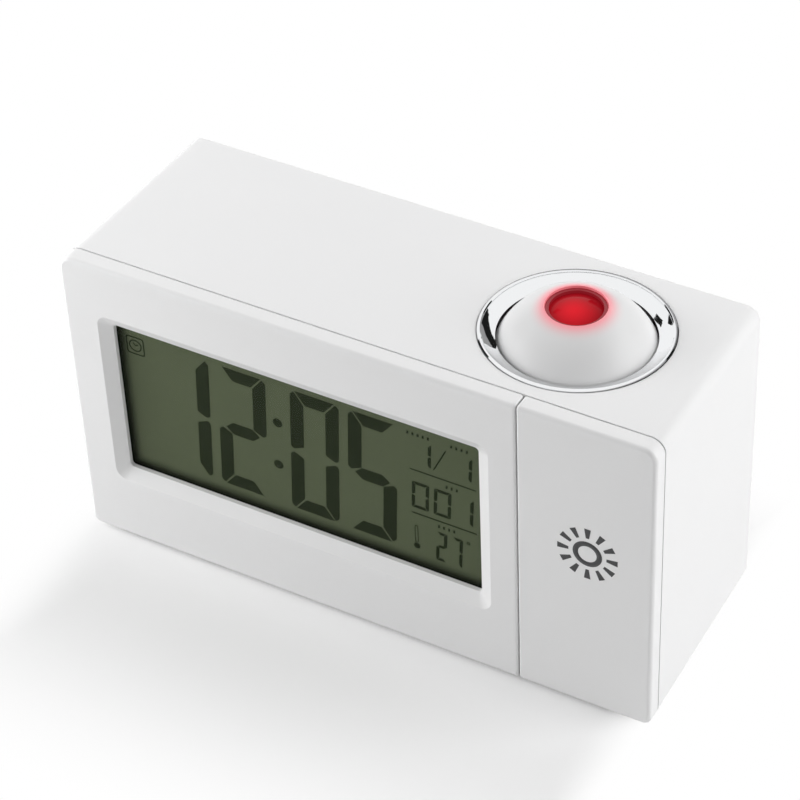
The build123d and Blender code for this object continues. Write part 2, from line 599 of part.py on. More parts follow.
def buzzer_rim():
    x = LEFT_X + BUZZER_FROM_LEFT
    front = REAR_WALL_Y - BUZZER_THICK
    rim = rod(x, BUZZER_Z, BUZZER_R + SLIP + BUZZER_RIM, (front, REAR_WALL_Y + WALL / 2))
    return rim - rod(x, BUZZER_Z, BUZZER_R + SLIP, (front, REAR_WALL_Y))


def housing():
    """Drafted box, open at the front."""
    shell = case_block((CASE_MOUTH_Y, REAR_Y))
    rear_edges = shell.faces().sort_by(Axis.Y)[-1].edges()
    shell = fillet(rear_edges, REAR_EDGE_R)
    shell -= case_block((CASE_MOUTH_Y - 1, REAR_WALL_Y), WALL)
    shell += bay_walls() + controls_pad() + buzzer_rim() + saddle_ribs()
    for x, z in WELLS:
        shell += well(x, z)
    shell -= bay_space() + finger_scoop()
    shell -= controls_cuts()
    shell -= saddle_cuts()
    shell -= sound_holes()
    for x, z in WELLS:
        shell -= well_bore(x, z)
    for _, x, y in FEET:
        shell -= post(x, y, FOOT_R + SLIP, (0, FOOT_STAND + FOOT_SUNK))
    return shell - ring_seat()


# ---------------------------------------------------------------- front frame
def frame_blank():
    """Bezel and key in one, before the groove parts them."""
    blank = case_block((FRONT_Y, FRAME_BACK_Y))
    return fillet(blank.faces().sort_by(Axis.Y)[0].edges(), FRAME_EDGE_R)


def frame_half(x, groove_x):
    """The part of the front frame between two widths, with its edge at the groove rounded."""
    half = frame_blank() & block(x, (FRONT_Y - 1, FRAME_BACK_Y + 1), (-1, HEIGHT + 1))
    cut_face = half.faces().filter_by(Axis.X).filter_by(lambda f: abs(f.center().X - groove_x) < 0.01)[0]
    front_edges = [e for e in cut_face.edges() if e.center().Y < FRAME_BACK_Y - 0.01]
    return fillet(front_edges, GROOVE_EDGE_R)


def window_recess():
    """Bevelled recess that narrows to the window, and the window through the lip."""
    face_x = (WINDOW_X[0] - RECESS_RUN, WINDOW_X[1] + RECESS_RUN)
    face_z = (WINDOW_Z[0] - RECESS_RUN_BELOW, WINDOW_Z[1] + RECESS_RUN)
    front = facing(FRONT_Y) * outline(face_x, face_z, RECESS_R)
    back = facing(LIP_Y) * outline(WINDOW_X, WINDOW_Z, WINDOW_R)
    return loft([front, back], ruled=True) + plate(WINDOW_X, (LIP_Y, PANE_Y), WINDOW_Z, WINDOW_R)


def bezel_body():
    """Front of the bezel, hollow behind, with the wall round the display and the web beside the groove."""
    edge = SPLIT_X - GROOVE / 2
    body = frame_half((LEFT_X - 1, edge), edge)
    behind = case_block((SKIN_BACK_Y, SPIGOT_END_Y), SPIGOT_INSET + SPIGOT_WALL)
    surround_x = (POCKET_X[0] - SURROUND_WALL, POCKET_X[1] + SURROUND_WALL)
    surround_z = (POCKET_Z[0] - SURROUND_WALL, POCKET_Z[1] + SURROUND_WALL)
    body -= behind & block((LEFT_X, POCKET_X[1]), (FRONT_Y, SPIGOT_END_Y), (0, HEIGHT))
    body += plate(surround_x, (SKIN_BACK_Y, SURROUND_Y), surround_z, SURROUND_R)
    spigot = case_block((FRAME_BACK_Y, SPIGOT_END_Y), SPIGOT_INSET) - behind
    body += spigot & block((LEFT_X, edge), (FRONT_Y, SPIGOT_END_Y), (0, HEIGHT))
    body += behind & block((POCKET_X[1], edge), (FRONT_Y, SPIGOT_END_Y), (0, HEIGHT))
    return body


def key_carrier():
    """Plate of the bezel behind the key, with slots for its hooks and holes for its pins."""
    carrier = case_block((CARRIER_Y, SPIGOT_END_Y), SPIGOT_INSET)
    carrier &= block((POCKET_X[1], RIGHT_X), (CARRIER_Y, SPIGOT_END_Y), (0, HEIGHT))
    for x, side in hook_places():
        for z in HOOK_Z:
            slot_x = sorted((x - side * SLIP, x + side * (HOOK_THICK + HOOK_NOSE + SLIP)))
            slot_z = (z - HOOK_WIDTH / 2 - SLIP, z + HOOK_WIDTH / 2 + SLIP)
            carrier -= block(slot_x, (CARRIER_Y - 1, SPIGOT_END_Y + 1), slot_z)
    for z in GUIDE_Z:
        carrier -= rod(FRONT_KEY_X, z, GUIDE_R + RUNNING_FIT, (CARRIER_Y - 1, SPIGOT_END_Y + 1))
    carrier -= rod(FRONT_KEY_X, PRESS_Z, PRESS_POST_R + PRESS_POST_CLEAR, (CARRIER_Y - 1, SPIGOT_END_Y + 1))
    for side in (-1, 1):
        carrier += rod(FRONT_KEY_X + side * PRESS_SCREW_X, PRESS_Z, POST_R, (SPIGOT_END_Y, PRESS_BOARD_Y))
        carrier -= rod(FRONT_KEY_X + side * PRESS_SCREW_X, PRESS_Z, SCREW_R + CLOSE_FIT,
                       (PRESS_BOARD_Y - SCREW_LENGTH, PRESS_BOARD_Y + 1))
    return carrier


def hook_places():
    """Each column of hooks: where its slot starts, and the way that its noses are assembled from."""
    return ((SPLIT_X + HOOK_INSET, 1), (RIGHT_X - WALL - HOOK_INSET, -1))


def front_bezel():
    body = bezel_body() + key_carrier()
    for x, z in WELLS:
        start = SKIN_BACK_Y - ROOT if x < SPLIT_X else CARRIER_Y
        body += rod(x, z, BOSS_R, (start, WELL_END_Y - SEAT_GAP))
    for x, z in HOLDER_SCREWS:
        body += rod(x, z, POST_R, (SKIN_BACK_Y - ROOT, SURROUND_Y))
    body -= plate(POCKET_X, (PANE_Y, SURROUND_Y + 1), POCKET_Z, SURROUND_R)
    for x, z in WELLS:
        body -= rod(x, z, CASE_SCREW_R + CLOSE_FIT, (WELL_END_Y - CASE_SCREW_LENGTH, WELL_END_Y))
    for x, z in HOLDER_SCREWS:
        body -= rod(x, z, SCREW_R + CLOSE_FIT, (SURROUND_Y - SCREW_LENGTH + HOLDER_EAR, SURROUND_Y + 1))
    return body - window_recess()


def projection_key():
    """Right-hand panel of the front: a hollow key with guide pins, hooks and a post for its switch."""
    edge = SPLIT_X + GROOVE / 2
    key = frame_half((edge, RIGHT_X + 1), edge)
    inside = case_block((SKIN_BACK_Y, FRAME_BACK_Y + 1), WALL)
    key -= inside & block((edge + WALL, RIGHT_X), (FRONT_Y, FRAME_BACK_Y + 1), (0, HEIGHT))
    for x, side in hook_places():
        for z in HOOK_Z:
            arm_z = (z - HOOK_WIDTH / 2, z + HOOK_WIDTH / 2)
            hook_end = SPIGOT_END_Y + RUNNING_FIT
            key += block(sorted((x, x + side * HOOK_THICK)), (SKIN_BACK_Y, hook_end + HOOK_HEAD), arm_z)
            key += block(sorted((x - side * HOOK_NOSE, x)), (hook_end, hook_end + HOOK_HEAD), arm_z)
    for z in GUIDE_Z:
        key += rod(FRONT_KEY_X, z, GUIDE_R, (SKIN_BACK_Y, SPIGOT_END_Y + GUIDE_REACH))
    press_end = PRESS_BOARD_Y - TACT_TOP - KEY_TRAVEL - PRESS_GAP
    return key + rod(FRONT_KEY_X, PRESS_Z, PRESS_POST_R, (SKIN_BACK_Y, press_end))


# ---------------------------------------------------------------- display
def stack_layer(y, thick, bottom_z):
    """One layer of the display, between the holder's walls."""
    return block(STACK_X, (y, y + thick), (bottom_z, STACK_Z[1]))


def display_window():
    return plate(HOLDER_X, (PANE_Y, HOLDER_Y), HOLDER_Z, HOLDER_R)


def display_holder():
    """Tray round the display, with ears for its screws and posts for the main board."""
    holder = plate(HOLDER_X, (HOLDER_Y, HOLDER_END_Y), HOLDER_Z, HOLDER_R)
    inner_x = (STACK_X[0] - STACK_FIT, STACK_X[1] + STACK_FIT)
    inner_z = (STACK_Z[0] - STACK_FIT, STACK_Z[1] + STACK_FIT)
    holder -= block(inner_x, (HOLDER_Y, HOLDER_BACK_Y), inner_z)
    board_side = MAIN_BOARD_X[1] + POST_R
    holder -= block((board_side, HOLDER_X[1]), (HOLDER_BACK_Y, HOLDER_END_Y), HOLDER_Z)
    holder -= block((CONTACT_X[0] - STACK_FIT, CONTACT_X[1] + STACK_FIT), (HOLDER_BACK_Y, HOLDER_END_Y),
                    (inner_z[0], LEDGE_TOP_Z + STACK_FIT))
    for x, z in HOLDER_SCREWS:
        rim_x = HOLDER_X[0] + HOLDER_WALL / 2 if x < HOLDER_X[0] else HOLDER_X[1] - HOLDER_WALL / 2
        out_x = x - EAR_HALF if x < HOLDER_X[0] else x + EAR_HALF
        ear_x = sorted((rim_x, out_x))
        holder += block(ear_x, (SURROUND_Y, SURROUND_Y + HOLDER_EAR), (z - EAR_HALF, z + EAR_HALF))
        holder -= rod(x, z, SCREW_R + CLOSE_FIT, (SURROUND_Y - 1, SURROUND_Y + HOLDER_EAR + 1))
    for x, z in BOARD_POSTS:
        holder += rod(x, z, POST_R, (HOLDER_BACK_Y + HOLDER_BACK / 2, MAIN_BOARD_Y))
        holder -= rod(x, z, SCREW_R + CLOSE_FIT, (MAIN_BOARD_Y + BOARD - SCREW_LENGTH, MAIN_BOARD_Y + 1))
    return holder


def contact_strip():
    """Elastomer strip from the ledge of the front glass to the main board."""
    z = (STACK_Z[0], STACK_Z[0] + CONTACT_LEDGE - STACK_FIT)
    return block(CONTACT_X, (REAR_GLASS_Y, MAIN_BOARD_Y), z)


def light_guide():
    guide = block((STACK_X[0] + LED_ROOM, STACK_X[1]), (LIGHT_GUIDE_Y, LIGHT_GUIDE_Y + LIGHT_GUIDE),
                  (LEDGE_TOP_Z, STACK_Z[1]))
    return guide


def backlight_led():
    middle = (STACK_Z[0] + STACK_Z[1]) / 2
    x = (STACK_X[0] + STACK_FIT, STACK_X[0] + LED_ROOM - STACK_FIT)
    y = (LIGHT_GUIDE_Y + LED_INSET, LIGHT_GUIDE_Y + LIGHT_GUIDE - LED_INSET)
    return block(x, y, (middle - LED_LENGTH / 2, middle + LED_LENGTH / 2))


# ---------------------------------------------------------------- boards
def small_screw(x, z, head_y, back=1):
    """Self-tapping screw along the depth, its head on the side that back points to."""
    head = rod(x, z, SCREW_HEAD_R, sorted((head_y, head_y + back * SCREW_HEAD)))
    return head + rod(x, z, SCREW_R, sorted((head_y - back * (SCREW_LENGTH - SEAT_GAP), head_y)))


def screw_hole(x, z, y):
    return rod(x, z, SCREW_R + CLOSE_FIT, (y - 1, y + BOARD + 1))


def main_board():
    board = block(MAIN_BOARD_X, (MAIN_BOARD_Y, MAIN_BOARD_Y + BOARD), MAIN_BOARD_Z)
    for x, z in BOARD_POSTS:
        board -= screw_hole(x, z, MAIN_BOARD_Y)
    return board


def clock_chip():
    """Bare chip under a round blob of resin."""
    x = (MAIN_BOARD_X[0] + MAIN_BOARD_X[1]) / 2
    z = (MAIN_BOARD_Z[0] + MAIN_BOARD_Z[1]) / 2
    blob = rod(x, z, CHIP_R, (MAIN_BOARD_Y + BOARD, MAIN_BOARD_Y + BOARD + CHIP))
    return chamfer(blob.edges().sort_by(Axis.Y)[-1], CHIP / 2)


def quartz_crystal():
    x = MAIN_BOARD_X[0] + CRYSTAL_INSET
    y = MAIN_BOARD_Y + BOARD + CRYSTAL_R
    z = (MAIN_BOARD_Z[0] + MAIN_BOARD_Z[1]) / 2
    return post(x, y, CRYSTAL_R, (z - CRYSTAL_LENGTH / 2, z + CRYSTAL_LENGTH / 2))


def tact_switch(x, z, y, back):
    """Square switch that stands on a board's face at y, with its plunger on the side that back points to."""
    half = TACT / 2
    body = block((x - half, x + half), sorted((y, y + back * TACT_BODY)), (z - half, z + half))
    return body + rod(x, z, TACT_PLUNGER_R, sorted((y + back * TACT_BODY, y + back * TACT_TOP)))


def press_board():
    half_x, half_z = PRESS_BOARD[0] / 2, PRESS_BOARD[1] / 2
    board = block((FRONT_KEY_X - half_x, FRONT_KEY_X + half_x), (PRESS_BOARD_Y, PRESS_BOARD_Y + BOARD),
                  (PRESS_Z - half_z, PRESS_Z + half_z))
    for side in (-1, 1):
        board -= screw_hole(FRONT_KEY_X + side * PRESS_SCREW_X, PRESS_Z, PRESS_BOARD_Y)
    return board


def rear_key_board():
    board = block(KEY_BOARD_X, (KEY_BOARD_Y - BOARD, KEY_BOARD_Y), KEY_BOARD_Z)
    for x, z in KEY_BOARD_POSTS:
        board -= screw_hole(x, z, KEY_BOARD_Y - BOARD)
    return board


def board_screws():
    """Every small self-tapping screw in the case."""
    screws = [small_screw(x, z, SURROUND_Y + HOLDER_EAR) for x, z in HOLDER_SCREWS]
    screws += [small_screw(x, z, MAIN_BOARD_Y + BOARD) for x, z in BOARD_POSTS]
    press_x = [FRONT_KEY_X + side * PRESS_SCREW_X for side in (-1, 1)]
    screws += [small_screw(x, PRESS_Z, PRESS_BOARD_Y + BOARD) for x in press_x]
    screws += [small_screw(x, z, KEY_BOARD_Y - BOARD, back=-1) for x, z in KEY_BOARD_POSTS]
    return Compound(children=screws)


def case_screws():
    screws = []
    for x, z in WELLS:
        seat = WELL_END_Y + WELL_FLOOR
        head = rod(x, z, CASE_SCREW_HEAD_R, (seat, seat + CASE_SCREW_HEAD))
        screws.append(head + rod(x, z, CASE_SCREW_R, (seat - CASE_SCREW_LENGTH, seat)))
    return Compound(children=screws)


def temperature_sensor():
    x = KEY_BOARD_X[0] + SENSOR_INSET
    return rod(x, KEY_BOARD_Z[1] - SENSOR_INSET, SENSOR_R, (KEY_BOARD_Y, KEY_BOARD_Y + SENSOR_LENGTH))


def buzzer():
    return rod(LEFT_X + BUZZER_FROM_LEFT, BUZZER_Z, BUZZER_R, (REAR_WALL_Y - BUZZER_THICK, REAR_WALL_Y))


# ---------------------------------------------------------------- rear controls
def rear_key(x):
    """Round key with a bevelled top, a flange that keeps it in and a stem for its switch."""
    key = rod(x, KEY_Z, KEY_R, (CONTROLS_BACK_Y - SLIP, CONTROLS_FACE_Y + KEY_PROUD))
    key = chamfer(key.edges().sort_by(Axis.Y)[-1], KEY_BEVEL)
    flange_y = CONTROLS_BACK_Y - RUNNING_FIT
    key += rod(x, KEY_Z, KEY_FLANGE_R, (flange_y - KEY_FLANGE, flange_y))
    stem_end = KEY_BOARD_Y + TACT_TOP + REAR_KEY_TRAVEL + PRESS_GAP
    return key + rod(x, KEY_Z, KEY_STEM_R, (stem_end, flange_y))


def switch_body():
    half_x = (SWITCH_KNOB[0] + SWITCH_TRAVEL) / 2 + SWITCH_BODY_WALL
    half_z = SWITCH_KNOB[1] / 2 + SWITCH_BODY_WALL
    return block((CONTROLS_X - half_x, CONTROLS_X + half_x), (KEY_BOARD_Y, KEY_BOARD_Y + SWITCH_HIGH),
                 (SWITCH_Z - half_z, SWITCH_Z + half_z))


def switch_knob():
    """Knob of the projector switch at its off end, ribbed for a fingertip."""
    x = CONTROLS_X - SWITCH_TRAVEL / 2
    half_x, half_z = SWITCH_KNOB[0] / 2, SWITCH_KNOB[1] / 2
    span_z = (SWITCH_Z - half_z, SWITCH_Z + half_z)
    top = CONTROLS_FACE_Y + KEY_PROUD
    knob = block((x - half_x, x + half_x), (KEY_BOARD_Y + SWITCH_HIGH + SLIP, top), span_z)
    flange_y = CONTROLS_BACK_Y - RUNNING_FIT
    flange_x = (x - half_x - KNOB_FLANGE_X, x + half_x + KNOB_FLANGE_X)
    flange_z = (SWITCH_Z - half_z - KNOB_FLANGE_Z, SWITCH_Z + half_z + KNOB_FLANGE_Z)
    knob += block(flange_x, (flange_y - KEY_FLANGE, flange_y), flange_z)
    for i in (-1, 0, 1):
        groove_x = (x + i * half_x / 2 - KNOB_GROOVE / 2, x + i * half_x / 2 + KNOB_GROOVE / 2)
        knob -= block(groove_x, (top - KNOB_GROOVE, top + 1), span_z)
    return knob


# ---------------------------------------------------------------- power
def battery_door():
    """Door that hooks behind the wall at its lower edge, with a spring tongue at the top and grip ribs."""
    door = plate(DOOR_X, (DOOR_BACK_Y, DOOR_AXIS_Y), DOOR_Z, DOOR_R)
    middle = (DOOR_X[0] + DOOR_X[1]) / 2
    for side in (-1, 1):
        slit = middle + side * TONGUE_WIDTH / 2
        slit_z = (DOOR_Z[1] - TONGUE_LENGTH, DOOR_Z[1] + 1)
        door -= block((slit - TONGUE_SLIT / 2, slit + TONGUE_SLIT / 2), (DOOR_BACK_Y, DOOR_AXIS_Y), slit_z)
    for i in range(GRIP_GROOVES):
        z = DOOR_Z[1] - TONGUE_LENGTH - (i + 1) * GRIP_PITCH
        half = TONGUE_WIDTH / 2 + GRIP_SIDE - i * GRIP_WIDTH
        groove_y = (DOOR_AXIS_Y - GRIP_DEPTH, DOOR_AXIS_Y + 1)
        door -= block((middle - half, middle + half), groove_y, (z - GRIP_WIDTH / 2, z + GRIP_WIDTH / 2))
    for x in TAB_X:
        tab_x = (x - TAB_WIDTH / 2, x + TAB_WIDTH / 2)
        back = DOOR_AXIS_Y - TAB_BACK
        door += block(tab_x, (back - TAB_THICK, DOOR_BACK_Y), (DOOR_Z[0], DOOR_Z[0] + TAB_ROOT))
        door += block(tab_x, (back - TAB_THICK, back), (DOOR_Z[0] - TAB_HOOK, DOOR_Z[0]))
    return door


def cell_turn(i):
    """Way that cell i lies: 1 with its negative end at the left, -1 the other way round."""
    return 1 if i % 2 == 0 else -1


def battery_cell(i):
    """AAA cell, its negative end on the spring."""
    start = -BAY_LENGTH / 2 + CONTACT + SPRING_SPACE
    cell = pin(CELL_R, (start, start + CELL_BODY))
    cell = chamfer(cell.edges().filter_by(GeomType.CIRCLE), CELL_BEVEL)
    cell += pin(CELL_NUB_R, (start + CELL_BODY, start + CELL_LENGTH))
    turn = Rot(0, 0, 0) if cell_turn(i) > 0 else Rot(0, 0, 180)
    return Pos(BAY_X, CELL_Y, CELL_Z[i]) * turn * cell


def contact_plates():
    """Sheet contacts on both end walls of the bay."""
    plates = []
    half = CELL_PITCH / 2 - CONTACT_INSET
    for z in CELL_Z:
        for x in ((BAY_SPAN_X[0], BAY_SPAN_X[0] + CONTACT), (BAY_SPAN_X[1] - CONTACT, BAY_SPAN_X[1])):
            plates.append(block(x, (CELL_Y - half, CELL_Y + half), (z - half, z + half)))
    return Compound(children=plates)


def contact_springs():
    """Leaf springs, bowed out from the end wall against the cells' negative ends."""
    foot_half = SPRING_HALF - CONTACT
    bow = ThreePointArc((0, -SPRING_HALF), (SPRING_SPACE, 0), (0, SPRING_HALF))
    bow += Line((0, SPRING_HALF), (0, foot_half))
    bow += ThreePointArc((0, foot_half), (SPRING_SPACE - CONTACT, 0), (0, -foot_half))
    bow += Line((0, -foot_half), (0, -SPRING_HALF))
    leaf = Pos(0, 0, -SPRING_WIDTH / 2) * extrude(make_face(bow), amount=SPRING_WIDTH)
    springs = []
    for i, z in enumerate(CELL_Z):
        turn = cell_turn(i)
        x = BAY_X - turn * (BAY_LENGTH / 2 - CONTACT)
        springs.append(Pos(x, CELL_Y, z) * Rot(0, 0, 90 - 90 * turn) * leaf)
    return Compound(children=springs)


# ---------------------------------------------------------------- projector
def chrome_ring():
    """Dished ring with a raised bead, seated in the roof."""
    bead_in = RING_R - RING_BEAD
    outer = RING_R - RING_LAND - SLIP
    edge = RING_INNER_R + RING_FLARE
    sag = ((bead_in + RING_INNER_R) / 2 - RING_SAG, -RING_DISH / 2 - RING_SAG)
    section = Polyline((RING_INNER_R, -RING_DISH), (edge, -RING_DISH - RING_LIP),
                       (outer, -RING_SEAT - RING_SPIGOT), (outer, -RING_SEAT),
                       (RING_R, -RING_SEAT), (RING_R, 0))
    flat = RING_BEAD / 4
    section += Polyline((RING_R, 0), (RING_R, RING_PROUD / 2), (RING_R - flat, RING_PROUD),
                        (bead_in + flat, RING_PROUD), (bead_in, RING_PROUD / 2), (bead_in, 0))
    section += ThreePointArc((bead_in, 0), sag, (RING_INNER_R, -RING_DISH))
    return ROOF.location * turned(make_face(section))


def at_ball(shape):
    return Pos(BALL_X, BALL_Y, BALL_Z) * shape


def on_circle(radius, height):
    """Distance from the ball's axis at a height above its centre, on a sphere of this radius."""
    return sqrt(radius**2 - height**2)


def screw_post(z):
    """Both screw posts of a ball shell, kept inside its skin."""
    posts = post(0, BALL_POST_Y, BALL_POST_R, z) + post(0, -BALL_POST_Y, BALL_POST_R, z)
    return posts & Sphere(BALL_R - BALL_WALL / 2)


def inner_line(low, high):
    """Inside of the ball's wall as a few cones, from one height to the other."""
    inner = BALL_R - BALL_WALL
    heights = [low + (high - low) * i / BALL_STEPS for i in range(BALL_STEPS + 1)]
    return [(on_circle(inner, height), height) for height in heights]


def outer_arc(low, high):
    """Outside of the ball between two heights."""
    ends = [(on_circle(BALL_R, height), height) for height in (low, high)]
    middle = (asin(low / BALL_R) + asin(high / BALL_R)) / 2
    return ThreePointArc(ends[0], (BALL_R * cos(middle), BALL_R * sin(middle)), ends[1])


def ball_upper_shell():
    """Upper shell with the aperture and its tube, the trunnions and two screw posts."""
    tube_r = APERTURE_R + BALL_WALL
    tube_top = on_circle(BALL_R - BALL_WALL, tube_r)
    rim_z = on_circle(BALL_R, APERTURE_R + APERTURE_BEVEL)
    inside = inner_line(BALL_SPLIT, tube_top)
    section = outer_arc(BALL_SPLIT, rim_z)
    section += Polyline((on_circle(BALL_R, BALL_SPLIT), BALL_SPLIT), *inside,
                        (tube_r, LAMP_HOUSE_TOP), (APERTURE_R, LAMP_HOUSE_TOP),
                        (APERTURE_R, rim_z), (APERTURE_R + APERTURE_BEVEL, rim_z))
    shell = turned(make_face(section)) + screw_post((BALL_SPLIT, BALL_R))
    for side in (-1, 1):
        shell += pin(TRUNNION_BOSS_R, sorted((side * (BALL_R - BALL_WALL), side * TRUNNION_BOSS_X)))
        shell += pin(TRUNNION_R, sorted((side * TRUNNION_BOSS_X, side * (CHEEK_X + STRAP - SEAT_GAP))))
    pilot_z = (BALL_SPLIT - 1, BALL_SCREW_SEAT + BALL_SCREW_LENGTH + PILOT_SPARE)
    for y in (-BALL_POST_Y, BALL_POST_Y):
        shell -= post(0, y, SCREW_R + CLOSE_FIT, pilot_z)
    return at_ball(shell)


def ball_lower_shell():
    """Lower shell with a spigot, two screw posts and a hole for the projector's lead."""
    inner = BALL_R - BALL_WALL
    rim = (on_circle(BALL_R, BALL_SPLIT), BALL_SPLIT)
    section = outer_arc(-BALL_R, BALL_SPLIT)
    section += Polyline((0, -BALL_R), *inner_line(-inner, BALL_SPLIT), rim)
    spigot_r = on_circle(inner, BALL_SPLIT) - SLIP
    spigot_z = (BALL_SPLIT - BALL_WALL, BALL_SPLIT + BALL_SPIGOT)
    spigot = post(0, 0, spigot_r, spigot_z) - post(0, 0, spigot_r - SPIGOT_WALL, spigot_z)
    shell = turned(make_face(section)) + spigot
    shell += screw_post((-BALL_R, BALL_SPLIT))
    for y in (-BALL_POST_Y, BALL_POST_Y):
        shell -= post(0, y, SCREW_R + CLOSE_FIT, (-BALL_R, BALL_SPLIT + 1))
        shell -= post(0, y, SCREW_HEAD_R + SLIP, (-BALL_R - 1, BALL_SCREW_SEAT))
    return at_ball(shell - post(0, 0, LEAD_HOLE_R, (-BALL_R - 1, -BALL_R / 2)))


def ball_screws():
    screws = []
    for y in (-BALL_POST_Y, BALL_POST_Y):
        head = post(0, y, SCREW_HEAD_R, (BALL_SCREW_SEAT - SCREW_HEAD, BALL_SCREW_SEAT))
        shank = post(0, y, SCREW_R, (BALL_SCREW_SEAT, BALL_SCREW_SEAT + BALL_SCREW_LENGTH))
        screws.append(at_ball(head + shank))
    return Compound(children=screws)


def lens_barrel():
    """Stepped tube that holds the lens above and the lamp below, seated on the aperture's tube."""
    barrel = post(0, 0, BARREL_R, (LAMP_HOUSE_TOP, BARREL_TOP))
    barrel += post(0, 0, LAMP_HOUSE_R, (LAMP_HOUSE_BASE, LAMP_HOUSE_TOP))
    barrel -= post(0, 0, BARREL_BORE_R, (LENS_SEAT, BARREL_TOP + 1))
    barrel -= post(0, 0, BARREL_BORE_R - BARREL_WALL, (SLIDE_SEAT, LENS_SEAT))
    barrel -= post(0, 0, BARREL_BORE_R, (LAMP_HOUSE_BASE - 1, SLIDE_SEAT))
    return at_ball(barrel)


def domed_lens(radius, z, dome):
    """Flat-backed lens: a disc with a spherical cap."""
    sphere_r = (radius**2 + dome**2) / (2 * dome)
    cap = Pos(0, 0, z[1] + dome - sphere_r) * Sphere(sphere_r)
    disc = post(0, 0, radius, (z[0], z[1] + dome))
    return disc & (cap + post(0, 0, radius + 1, (z[0] - 1, z[1])))


def projection_lens():
    return at_ball(domed_lens(BARREL_BORE_R - CLOSE_FIT, (LENS_SEAT, LENS_SEAT + LENS_THICK), LENS_DOME))


def condenser_lens():
    top = SLIDE_SEAT - SLIDE_THICK
    body = (top - CONDENSER_THICK - LENS_DOME, top - LENS_DOME)
    return at_ball(domed_lens(BARREL_BORE_R - CLOSE_FIT, body, LENS_DOME))


def projector_slide():
    """Little display whose digits the lens throws on the ceiling."""
    return at_ball(post(0, 0, BARREL_BORE_R - CLOSE_FIT, (SLIDE_SEAT - SLIDE_THICK, SLIDE_SEAT)))


def projector_led():
    led = post(0, 0, LED_R, (LAMP_HOUSE_BASE, LAMP_HOUSE_BASE + LED_HIGH))
    return at_ball(chamfer(led.edges().sort_by(Axis.Z)[-1], LED_R / 2))


def projector_board():
    half_x, half_y = PROJECTOR_BOARD[0] / 2, PROJECTOR_BOARD[1] / 2
    return at_ball(block((-half_x, half_x), (-half_y, half_y), (LAMP_HOUSE_BASE - BOARD, LAMP_HOUSE_BASE)))


def projector_cradle():
    """Strap that runs under the ball, with a half-round saddle at each end and screwed flanges."""
    outer = CHEEK_X + STRAP
    bend = Circle(outer) - Circle(CHEEK_X)
    bend &= Pos(0, -outer) * Rectangle(2 * outer, 2 * outer)
    bend = Pos(0, -STRAP_STRAIGHT) * bend
    for side in (-1, 1):
        bend += Pos(side * (CHEEK_X + STRAP / 2), -STRAP_STRAIGHT / 2) * Rectangle(STRAP, STRAP_STRAIGHT)
    strap = Pos(0, STRAP_WIDTH / 2, 0) * extrude(Plane.XZ * bend, amount=STRAP_WIDTH)
    half_y = FLANGE_SPREAD + FLANGE_MARGIN
    for side in (-1, 1):
        x = sorted((side * CHEEK_X, side * (CHEEK_X + FLANGE_REACH)))
        strap += block(x, (-half_y, half_y), (-FLANGE_BELOW - FLANGE, -FLANGE_BELOW))
    for x, y in cradle_screw_places():
        strap -= post(x, y, SCREW_R + CLOSE_FIT, (-BALL_R, 0))
    strap -= pin(TRUNNION_R + RUNNING_FIT, (-outer - 1, outer + 1))
    return at_ball(strap)


def cradle_screws():
    seat = -FLANGE_BELOW - FLANGE
    screws = []
    for x, y in cradle_screw_places():
        head = post(x, y, SCREW_HEAD_R, (seat - SCREW_HEAD, seat))
        screws.append(at_ball(head + post(x, y, SCREW_R, (seat, seat + SCREW_LENGTH))))
    return Compound(children=screws)


def friction_washers():
    washers = []
    for side in (-1, 1):
        x = sorted((side * (TRUNNION_BOSS_X + WASHER_FIT), side * (TRUNNION_BOSS_X + WASHER_FIT + WASHER)))
        washers.append(at_ball(pin(WASHER_R, x) - pin(TRUNNION_R + RUNNING_FIT, x)))
    return Compound(children=washers)


# ---------------------------------------------------------------- assembly
def foot(x, y):
    pad = post(x, y, FOOT_R, (0, FOOT_STAND + FOOT_SUNK))
    return chamfer(pad.edges().sort_by(Axis.Z)[0], FOOT_BEVEL)


